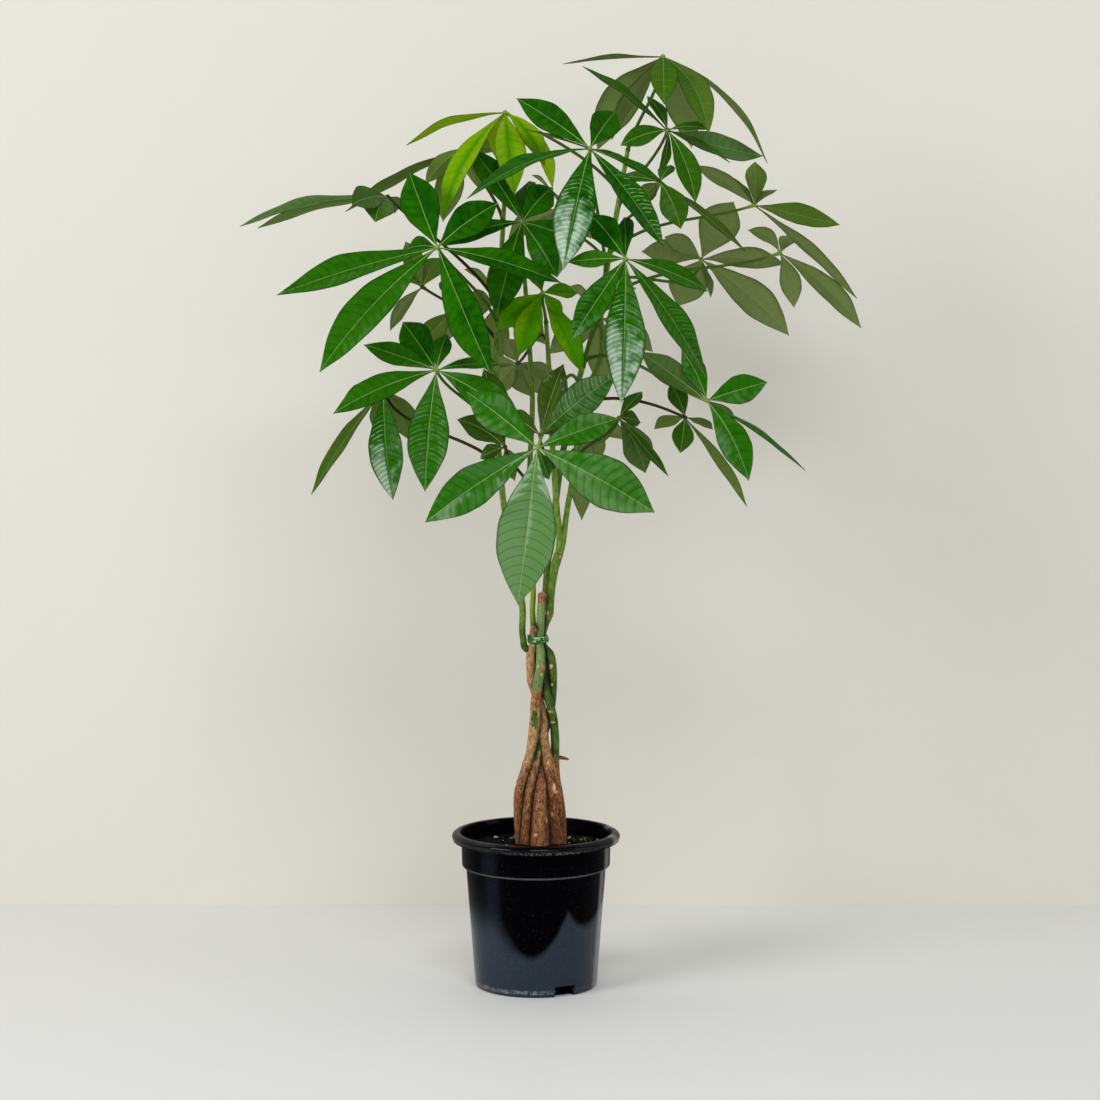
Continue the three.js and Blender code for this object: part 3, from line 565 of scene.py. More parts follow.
def peat():
    finish = Finish("damp_peat", **{"Specular IOR Level": 0.08})
    coarse = finish.noise(180.0, 4.0)
    fine = finish.noise(900.0, 3.0)
    dark = finish.blend(finish.ease(coarse, 0.4, 0.85), colour(3, 2, 2), colour(26, 19, 13))
    ends = {0: finish.place(), 1: LITTER_PLACE}
    away = finish.node("ShaderNodeVectorMath", {"operation": "DISTANCE"}, ends, "Value")
    litter = 1 - finish.ease(away, 0.004, 0.015)
    shade = finish.blend(finish.ease(fine + litter * 0.16, 0.64, 0.72) * 0.6, dark, colour(112, 100, 52))
    return finish.done(Base_Color=shade, Roughness=0.75 + coarse * 0.25,
                       Normal=finish.bump(coarse + fine * 0.6, 1.2))


def white_grit():
    finish = Finish("perlite_grit", **{"Subsurface Weight": 0.1, "Subsurface Scale": 0.002})
    pits = finish.noise(700.0, 4.0)
    shade = finish.blend(pits, colour(232, 226, 212), colour(150, 140, 122))
    return finish.done(Base_Color=shade, Roughness=0.85 + pits * 0.1, Normal=finish.bump(pits, 0.5))


dress("potting_mix", soil_form, peat(), "soil")
dress("perlite", perlite_form, white_grit())
print("soil dressed")

# %% [markdown]
# ## The braided stems
#
# Five stems grow from the mix and are plaited while they are soft. The old wood at the foot is brown and
# wrinkled, with pale breathing pores. Higher up all but one turn green, save for scars, cut ends and a
# short stub. Each stem is given as a short list of places with a radius, the same places as in the solid
# model, and a smooth tube runs through them. The wrinkles are real relief, so they show on the outline as
# well as in the light.

# %% Where each stem runs
ROOT_END_Z = 66

STEMS = {
    "stem_1": {
        "trunk": [(-10, -3, ROOT_END_Z, 3), (-13, -4, 100, 4.6), (-13.4, -4, 128, 4.9),
            (-15.3, -6, 156, 4.6), (-14.7, -6, 177, 4.8), (-9, -7, 198, 4.8), (-4.4, -7, 214, 4.9),
            (-2.8, -7, 230, 4.4), (-1.2, -8, 245, 4.4), (0, -8, 262, 4.5), (1.9, -8, 276, 4.4),
            (4.1, -8, 291, 4.3), (4.4, -7, 305, 4), (4, -5.5, 316, 3.3), (4.1, -4, 329, 3.8),
            (4.8, -3.5, 343, 3.8), (5.8, -4, 357, 3.6)],
    },
    "stem_2": {
        "trunk": [(15, -2, ROOT_END_Z, 4), (18, -2, 100, 7), (19.4, -2.4, 128, 8.4), (19.2, -3, 150, 8.3),
            (17.6, -4, 168, 8), (14.9, -6, 187, 6.6), (12, -7, 201, 5.5), (9.4, -6, 213, 4.6),
            (7.2, -4, 228, 4.2), (7, -2, 241, 3.7), (5, 0, 254, 3.8), (0, 2, 266, 4), (-3.4, 2, 278, 4.6),
            (-4, 1, 292, 4.7), (-3.8, 0, 304, 4.7), (-3, -1.5, 315, 3.8), (-0.8, -4, 326, 4.1)],
        "shoot_left": [(-4, 0, 306, 3.4), (-9, -0.5, 307.5, 3.3), (-11.5, 0, 317, 3), (-12, 1, 344, 3),
            (-22, 2, 393, 2.9), (-29, 3, 440, 2.8), (-34, 2, 495, 2.7), (-35, 0, 548, 2.6),
            (-34.5, 2, 601, 2.5), (-31, 8, 655, 2.3), (-27, 10, 722, 1.8)],
    },
    "stem_3": {
        "trunk": [(-5, -4, ROOT_END_Z, 3), (-8, -6, 100, 5), (-9, -8, 130, 5.6), (-7.6, -10, 156, 5.1),
            (-5.4, -9, 177, 4.8), (-2.6, -8, 193, 4.6), (0.6, -6.5, 207, 4.3), (3.5, -3.5, 218, 4),
            (6.5, 1.5, 228, 3.9), (11, 4, 242, 3.9), (14, 3, 256, 3.8), (15, 0, 268, 3.7),
            (15.6, -3, 283, 3.5), (14, -4, 299, 3.7), (10.4, -2, 310, 3.5), (7.4, 0.5, 320, 3.3),
            (9, 0.5, 331, 3.5), (12, 0, 338, 3.7), (13, 0, 348, 3.4), (15, 0, 368, 3.4), (18, 0, 385, 4.1),
            (20.5, 0, 393, 4.2)],
        "shoot_middle": [(19, 0, 386, 3.2), (21, 0, 402, 2.9), (18.6, -3.4, 436, 2.8), (14.6, -5, 496, 2.5),
            (13, -3, 540, 2.3), (9, 2, 602, 1.9)],
        "shoot_right": [(19, 0, 384, 3), (23.6, 1, 400, 2.8), (27, 2, 425, 2.6), (36.4, 5, 485, 2.6),
            (38, 6, 545, 2.6), (49, 10, 584, 2.6), (65, 18, 655, 2.5), (73, 20, 701, 2.4),
            (82, 20, 753, 1.9)],
    },
    "stem_4": {
        "trunk": [(3, -10, ROOT_END_Z, 3.6), (3.4, -10, 100, 8.4), (3.4, -11.4, 128, 9.2),
            (3.4, -12.4, 150, 7.7), (3.7, -12, 168, 6.2), (4.4, -9, 187, 4.6), (4.6, -3, 202, 4.5),
            (5, 3, 215, 4.4), (4.6, 7, 228, 4.2), (3, 8.4, 246, 4), (3.4, 7, 264, 4), (5, 6, 283, 3.8),
            (3, 5.6, 301, 3.6), (-1, 5, 316, 3.1), (-2.4, 2.6, 330, 2.7), (-3, 0.6, 342, 2.5),
            (-2.4, 0, 355, 2.5), (-6.6, 2, 410, 2.4), (-5.5, 0, 468, 2.4), (-3, -4.6, 530, 2.3),
            (-6, -6, 585, 2.1), (-10, -8, 642, 1.9)],
    },
    "stem_5": {
        "trunk": [(18, 8, ROOT_END_Z, 3.4), (21, 8, 100, 5.4), (22, 8, 128, 6), (21.6, 8, 149, 5.5),
            (20, 8, 171, 5), (17.6, 6, 189, 4.4), (17.2, 4, 207, 4), (17.2, 2, 226, 3.9),
            (15.8, -1, 243, 3.8), (13.4, -4, 255, 3.8), (10, -5, 266, 3.8), (8.8, -3, 276, 3.6),
            (9.6, 1, 286, 3.4), (8, 5, 301, 3.3), (5.5, 6.6, 316, 3.1), (7, 7, 331, 3.1), (11, 9, 387, 3.1),
            (18, 15, 440, 3), (27, 22, 494, 2.9), (40, 28, 529, 2.8), (57, 30, 562, 2.7),
            (58, 35, 619, 2.1)],
        "stub": [(16, 4, 208, 1.9), (22, 4, 207.5, 1.9), (29.5, 4, 206, 0.9)],
    },
}
print("runs:", [f"{stem} {run}" for stem, runs in STEMS.items() for run in runs])

# %% [markdown]
# ### Bark, green skin and scars
#
# How brown a stem is changes along it, and differs from stem to stem, and so does how tan the brown is.
# Both are written as short lists of heights with a share, read straight off the plant. Green patches,
# scars and pale spots are spots at a place on a stem's surface, each with its width and height. A spot
# tints the bark, and a scar or a pale spot raises it a little. Painted shade is laid the same way, as dark
# spots in the deep gaps of the braid, and wherever a stem lies against or close to another trunk. One noise
# over all the stems would give none of this: on the plant each mark has its own place, and the eye knows
# the braid by them.

# %% Brown by height, and spots
BROWN = {
    "stem_1": [(248, 1), (258, 0.95), (264, 0.62), (272, 0.42), (282, 0.3), (294, 0.12), (348, 0.1),
               (352, 1)],
    "stem_2": [(310, 1)],
    "stem_3": [(224, 1), (236, 0.5), (248, 0.2), (290, 0.1)],
    "stem_4": [(246, 1), (262, 0.5), (276, 0.3), (290, 0)],
    "stem_5": [(200, 1), (208, 0.5), (214, 0.05)],
}
TAN = {
    "stem_1": [(160, 0.15), (200, 0.45), (222, 1), (250, 1), (256, 0.3)],
    "stem_2": [(170, 0.05), (200, 0.35), (240, 0.7), (262, 1), (308, 1), (312, 0.6)],
    "stem_3": [(170, 0.1), (196, 0.4), (222, 1)],
    "stem_4": [(170, 0.1), (200, 0.2), (228, 1)],
    "stem_5": [(190, 0.1), (206, 0.5)],
}
TAN_SPOTS = [(4.6, -16, 154, 6, 24)]
GREEN_PATCHES = [(-1.2, -12, 245, 3.6, 11), (1.8, -12, 219, 2.8, 6), (-0.6, -12, 212, 2.8, 6),
                 (0.4, -3, 300, 2.4, 10), (0, -2, 288, 1.6, 5)]
SCARS = [(5.3, -12, 291.6, 3.3, 2.2), (5.4, -12, 288.4, 1.9, 2.6), (-2, -12, 262, 2.6, 2),
         (1.6, -12, 259.6, 2.2, 1.8), (-2.8, -12, 256.8, 2.2, 1.4), (10.6, -3, 336.5, 1.4, 1.6),
         (22, -4, 390, 2.4, 2.4)]
PALE_SPOTS = [(-1.6, -3, 310.6, 3.4, 1.8), (2.0, -12, 292.8, 1.4, 1.6), (8.4, -12, 292.6, 1.2, 1.4),
              (13.6, -7, 292.8, 2.4, 2), (13.4, -7, 290.4, 1.4, 1.4), (14.6, -5, 275.2, 1.6, 1.8),
              (9.6, -4, 340.2, 2.6, 3.8), (-0.1, -20, 141, 1.9, 2), (16.4, -13, 183, 1.7, 4.6),
              (17.8, -12, 178.6, 2.4, 1.4), (14.2, -13, 197.8, 1.2, 1.2), (9.6, -18, 153, 1.1, 4),
              (14.6, -11, 158.4, 1.3, 4), (13.6, -11, 151.4, 0.9, 1.5), (-5.8, -15, 167.5, 2.6, 1),
              (8.3, -13, 185.6, 0.9, 3.6), (-5.3, -12, 200.5, 1.2, 1.2), (10.9, -12, 205, 1.4, 1.6),
              (12.4, -9, 251, 4.2, 1), (15, -5, 241, 4, 0.9), (5.2, -12, 285.2, 1.2, 2.2),
              (-7.5, -12, 145, 0.9, 0.8), (2.8, -18, 172, 0.9, 1.1), (10, -14, 200, 1.8, 1.2),
              (12.6, -13, 190.6, 1, 1), (-10, -12, 206, 2.2, 1)]
# Spots of painted shade: dark spots in the deep gaps of the braid, and a soft one on the lower right of the
# trunk.
SHADE_SPOTS = [(9.8, 0, 284, 2.0, 17), (9.4, 2, 296, 2.2, 10), (4.6, -4, 207, 2.2, 9), (12.9, -10, 139, 1.4, 15),
        (5.4, -8, 248, 1.0, 8), (3.4, -8, 234, 1.0, 7), (10.9, -6, 234, 0.9, 10), (-1.5, -5, 322, 1.6, 4)]
SOFT_SHADE_SPOTS = [(21, -6, 148, 6, 26)]


def near(points, spots):
    """1 on a spot's middle, falling to 0 outside it. A spot is a place, how wide it is and how high."""
    best = np.zeros(points.shape[:-1])
    for x, y, z, wide, high in spots:
        away = np.linalg.norm((points - (x, y, z)) / (wide, 3 * max(wide, high), high), axis=-1)
        best = np.maximum(best, np.exp(-away ** 2 * 1.4))
    return best


def by_height(z, shares):
    return np.interp(z, *zip(*shares))


print(len(SCARS), "scars and", len(PALE_SPOTS), "pale spots")

# %% A stem's run, its squeeze and its painted shade
TIE_CENTRE = np.array([1.9, 0.4, 316.4])
TIE_R, WIRE_R = 8.7, 1.05
CUT_STEMS = ("stem_1", "stem_2")


def fall(distance, width, power=2):
    """1 at no distance, falling towards 0 past the width."""
    return np.exp(-(distance / width) ** power)


def stem_run(places, trunk, cut):
    """The run with its end rounded off, flared if cut, and the distance of each ring from that end."""
    run = smooth_run(places, 1.3 if trunk else 2.2)
    lean = np.array([1, 0.97, 0.88, 0.7, 0.42] if cut else [1, 0.99, 0.93, 0.78, 0.5])
    last, before = run[-1], run[-2]
    cap = np.tile(last + (last - before) * 0.001, (len(lean), 1))
    cap[:, :3] += unit(last[:3] - before[:3]) * (1 - lean)[:, None] * last[3] * (1.0 if cut else 0.45)
    cap[:, 3] = last[3] * lean
    run = np.vstack([run[:-1], cap])
    from_end = np.linalg.norm(run[:, :3] - run[-1, :3], axis=1)
    if cut:
        run[:, 3] *= 1 + 0.12 * fall(from_end, 4.5)
    return run, from_end[:, None]


def squeeze(points, z):
    """Draws a trunk's points in under the tie."""
    away = points[..., :2] - TIE_CENTRE[:2]
    far = np.linalg.norm(away, axis=-1)
    tight = fall(np.maximum(abs(z - TIE_CENTRE[2]) - 3.6, 0), 4.5)
    squeezed = np.minimum(far, TIE_R - WIRE_R - 0.05)
    points[..., :2] += away * ((squeezed / np.maximum(far, 1e-6) - 1) * tight)[..., None]


def crevices(points, stem):
    """How much painted shade a point gets: 1 where it lies against another trunk or in a shade spot."""
    others = np.vstack([smooth_run(runs["trunk"], 2.6) for other, runs in STEMS.items() if other != stem])
    gaps = np.linalg.norm(points[:, :, None] - others[:, :3], axis=-1) - others[:, 3]
    gap = np.maximum(gaps.min(-1) - 0.1, 0)
    shade_against_trunks = np.maximum(fall(gap, 1.7), 0.5 * fall(gap, 4))
    return np.maximum.reduce([shade_against_trunks, near(points, SHADE_SPOTS), 0.5 * near(points, SOFT_SHADE_SPOTS)])


print("the tie lies", TIE_CENTRE[2], "mm up")

# %% Grow the stems
def stem_form(stem, name, places):
    trunk = name == "trunk"
    cut = trunk and stem in CUT_STEMS
    run, from_end = stem_run(places, trunk, cut)
    points, outward, turn = tube(run, 32 if trunk else 16)
    z = points[..., 2]
    seed = sum(map(ord, stem + name))
    radius = run[:, 3][:, None]
    round_it = turn * radius

    ragged = z + 2.4 * ripples(round_it, z, 8, seed) + 1.4 * ripples(round_it, z, 3.2, seed + 2)
    patchy = 0.35 * ripples(round_it, z, 3.6, seed + 5)
    brown = by_height(ragged, BROWN[stem]) if trunk else np.full_like(z, float(name == "stub"))
    brown = np.clip(brown - 1.5 * np.clip(near(points, GREEN_PATCHES) * 1.9 + patchy - 0.45, 0, 1), 0, 1)
    tan = (by_height(ragged, TAN[stem]) if trunk else 0) + 0.3 * near(points, TAN_SPOTS)
    faded = by_height(z, [(256, 0), (262, 0.45), (285, 0.6), (300, 0.85)]) * (stem == "stem_1")
    # Upper stems and shoots turn a lighter, younger green. The shoots get more of it, partly painted light
    # that keeps them lighter than the shade of the crown leaves them.
    supple = np.clip((z - 316) / 20, 0, 1) * (0.45 if trunk else 0.7) * (stem != "stem_1")
    fresh = np.clip((z - 318) / 12, 0, 1) * np.clip((420 - z) / 30, 0, 1) * (stem == "stem_4")
    scar, pale = near(points, SCARS), near(points, PALE_SPOTS)
    end = fall(from_end, 3.9 if stem == "stem_1" else 4.9, 4) * (1 + 0.2 * patchy) * cut

    furrows = np.sin(3 * turn + z * 0.035 + seed) + 0.8 * np.sin(5 * turn - z * 0.05 + 2.1 * seed)
    across = ripples(z, round_it * 0.4, 3.4, seed)
    wrinkles = 0.018 * furrows * radius + 0.10 * across
    relief = brown * wrinkles + (1 - brown) * 0.05 * ripples(z, round_it, 16, seed + 1)
    relief = relief + 0.45 * scar + 0.3 * pale + 0.3 * end * ripples(round_it, z, 4, seed + 7)
    points = points + outward * relief[..., None]
    if trunk:
        squeeze(points, z)
    crevice = crevices(points, stem) * (trunk or z < 315)
    return ringed(points, brown=brown, tan=tan, scar=scar, pale=pale, end=end, crevice=crevice, faded=faded,
                  supple=supple, fresh=fresh)


stem_forms = {stem: together([stem_form(stem, name, places) for name, places in runs.items()])
              for stem, runs in STEMS.items()}
print("stems:", {stem: len(form.faces) for stem, form in stem_forms.items()}, "faces")

# %% Finish the stems
def bark():
    finish = Finish("bark_and_green_skin", **{"Specular IOR Level": 0.15})
    fibres = finish.noise(460.0, 4.0, finish.place_drawn_out(0.45), 0.6)
    patches = finish.noise(85.0, 3.0)
    flecks = finish.ease(finish.noise(1100.0, 2.0), 0.60, 0.72)
    grit = finish.noise(950.0, 2.0)
    uneven, frayed = patches - 0.5, fibres - 0.5

    def two_tone(mask, low, high, first, second):
        return finish.blend(finish.ease(mask, low, high), colour(*first), colour(*second))

    def spots(name, fray, low, high):
        return finish.ease(finish.kept(name) + frayed * fray, low, high)

    streaky = fibres * 0.6 + grit * 0.4
    wood = finish.layered(two_tone(streaky, 0.36, 0.64, (60, 28, 12), (176, 114, 72)),
                          (finish.ease(patches, 0.5, 0.75) * 0.55, colour(106, 76, 66)),
                          (flecks * 0.4, colour(196, 150, 122)))
    light_wood = finish.layered(two_tone(streaky, 0.36, 0.64, (140, 100, 62), (206, 168, 118)),
                                (finish.ease(patches, 0.5, 0.72) * 0.5, colour(128, 88, 60)))
    tan = finish.ease(finish.kept("tan") + uneven * 0.9 + frayed * 0.4, 0.1, 0.9)
    wood = finish.blend(tan, wood, light_wood)

    fresh = finish.kept("fresh")
    faded = two_tone(grit, 0.35, 0.65, (96, 126, 66), (146, 170, 112))
    supple = two_tone(fibres, 0.35, 0.65, (84, 122, 26), (126, 160, 60))
    green = finish.layered(two_tone(patches, 0.3, 0.7, (36, 66, 12), (74, 108, 34)),
                           (finish.ease(fibres, 0.52, 0.72) * 0.5, colour(122, 138, 62)),
                           (finish.kept("faded"), faded), (finish.kept("supple"), supple),
                           (fresh, colour(122, 152, 22)))

    brown = finish.ease(finish.kept("brown") + uneven * 0.6 + frayed * 0.6 + (grit - 0.5) * 0.3, 0.38, 0.54)
    scabby = two_tone(flecks + fibres, 0.4, 0.65, (122, 74, 44), (204, 158, 122))
    callus = two_tone(patches + fibres, 0.78, 1.05, (128, 76, 58), (196, 148, 120))
    dust_and_reflection_mottle = finish.ease(grit + patches * 0.6, 0.86, 1.0) * (1 - brown) * (1 - fresh)
    shade = finish.layered(green, (brown, wood), (brown * (1 - brown) * 1.92, colour(178, 156, 96)),
                           (dust_and_reflection_mottle * 0.35, colour(150, 146, 92)), (spots("scar", 0.9, 0.3, 0.6), scabby),
                           (spots("pale", 0.7, 0.35, 0.62) * 0.85, colour(218, 178, 146)),
                           (spots("end", 0.4, 0.35, 0.6), callus),
                           # painted shade where the stems lie against each other and in the gaps of the braid
                           (finish.kept("crevice") * 0.9, colour(16, 9, 5)))
    relief = fibres * (0.2 + brown * 0.8) + grit * (0.1 + brown * 0.3) + flecks * brown * 0.3
    return finish.done(Base_Color=shade, Roughness=0.42 + brown * 0.34, Normal=finish.bump(relief, 0.8))


bark_finish = bark()
for stem, form in stem_forms.items():
    dress(f"{stem}_bark", form, bark_finish, stem)
print("stems dressed")

# %% [markdown]
# ## The wire tie
#
# A gardener's wire in green plastic goes three times round the waist of the braid. A torus would read as a
# rubber ring. One long tube that climbs round the stems as a coil reads as wire, since each turn is seen to
# lead into the next. Its wet gleam is too thin for the lamps to draw, so the tube keeps how far each point
# faces up and to the front, and the finish lays a pale streak there.

# %% Wind the wire
TURNS = 3
TURN_PITCH = 1.3 * 2 * WIRE_R
angle = np.linspace(0, 2 * math.pi * (TURNS + 0.06), 190)
climb = (angle / angle[-1] - 0.5) * TURN_PITCH * (TURNS - 1) + 0.15 * np.sin(angle * 1.7)
reach = TIE_R + 0.14 * np.sin(angle * 2.3) + 0.1 * np.sin(angle * 5.1 + 1)
turn = angle + math.radians(-160)
places = TIE_CENTRE + np.stack([reach * np.cos(turn), reach * np.sin(turn), climb], 1)
coil_points, coil_out, _ = tube(np.column_stack([places, np.full(len(angle), WIRE_R)]), 12)
# Painted highlight on the wire where it faces up and to the front, strongest in the middle and on the right.
facing = np.clip((coil_out @ unit((0.1, -0.7, 0.7)) - 0.72) / 0.16, 0, 1)
streak = facing * np.interp(coil_points[..., 0], [-7, -2.2, -1, 1.2, 2.4, 9], [0.2, 0.35, 1.5, 1.5, 0.8, 1])
wire_form = ringed(coil_points, streak=streak)
print("wire:", round(float(np.linalg.norm(np.diff(places, axis=0), axis=1).sum())), "mm long")


def green_plastic():
    finish = Finish("green_wire", **{"Specular IOR Level": 0.3, "Coat Roughness": 0.04})
    mottle = finish.noise(420.0, 3.0)
    gleam = finish.ease(finish.noise(400.0, 1.0), 0.40, 0.5) * finish.kept("streak")
    shade = finish.layered(colour(2, 44, 6), (mottle, colour(14, 118, 24)),
                           (gleam * 0.9, colour(178, 244, 150)))
    return finish.done(Base_Color=shade, Roughness=0.2 + mottle * 0.12, Coat_Weight=0.15 + mottle * 0.3,
                       Normal=finish.bump(mottle, 0.25))


dress("wire_turns", wire_form, green_plastic(), "wire_tie")

# %% [markdown]
# ## The leaves
#
# A leaf is one long stalk that ends in a hub, with four to eight leaflets spread from it like fingers. The
# numbers below are those of the solid model, so the fine leaflets lie exactly where the solid ones do.
#
# An image of a leaf on a flat card would be quicker. But these leaves are large and close, and what makes
# them real is the light on their puckered blades, so every leaflet is modelled.

# %% Where each leaf grows
class Leaf:
    """Where the hub is, the run and the height its stalk starts at, the way its fan faces, and the leaflets.

    A leaflet is its reach to the right, back and up, its width, roll and bow. The stalk arrives along the
    face unless another way is given.
    """
    def __init__(self, hub, on, face, *leaflets, arrive=None):
        self.hub, self.face, self.arrive = np.array(hub, float), np.array(face, float), unit(arrive or face)
        self.on, self.leaflets = on, leaflets


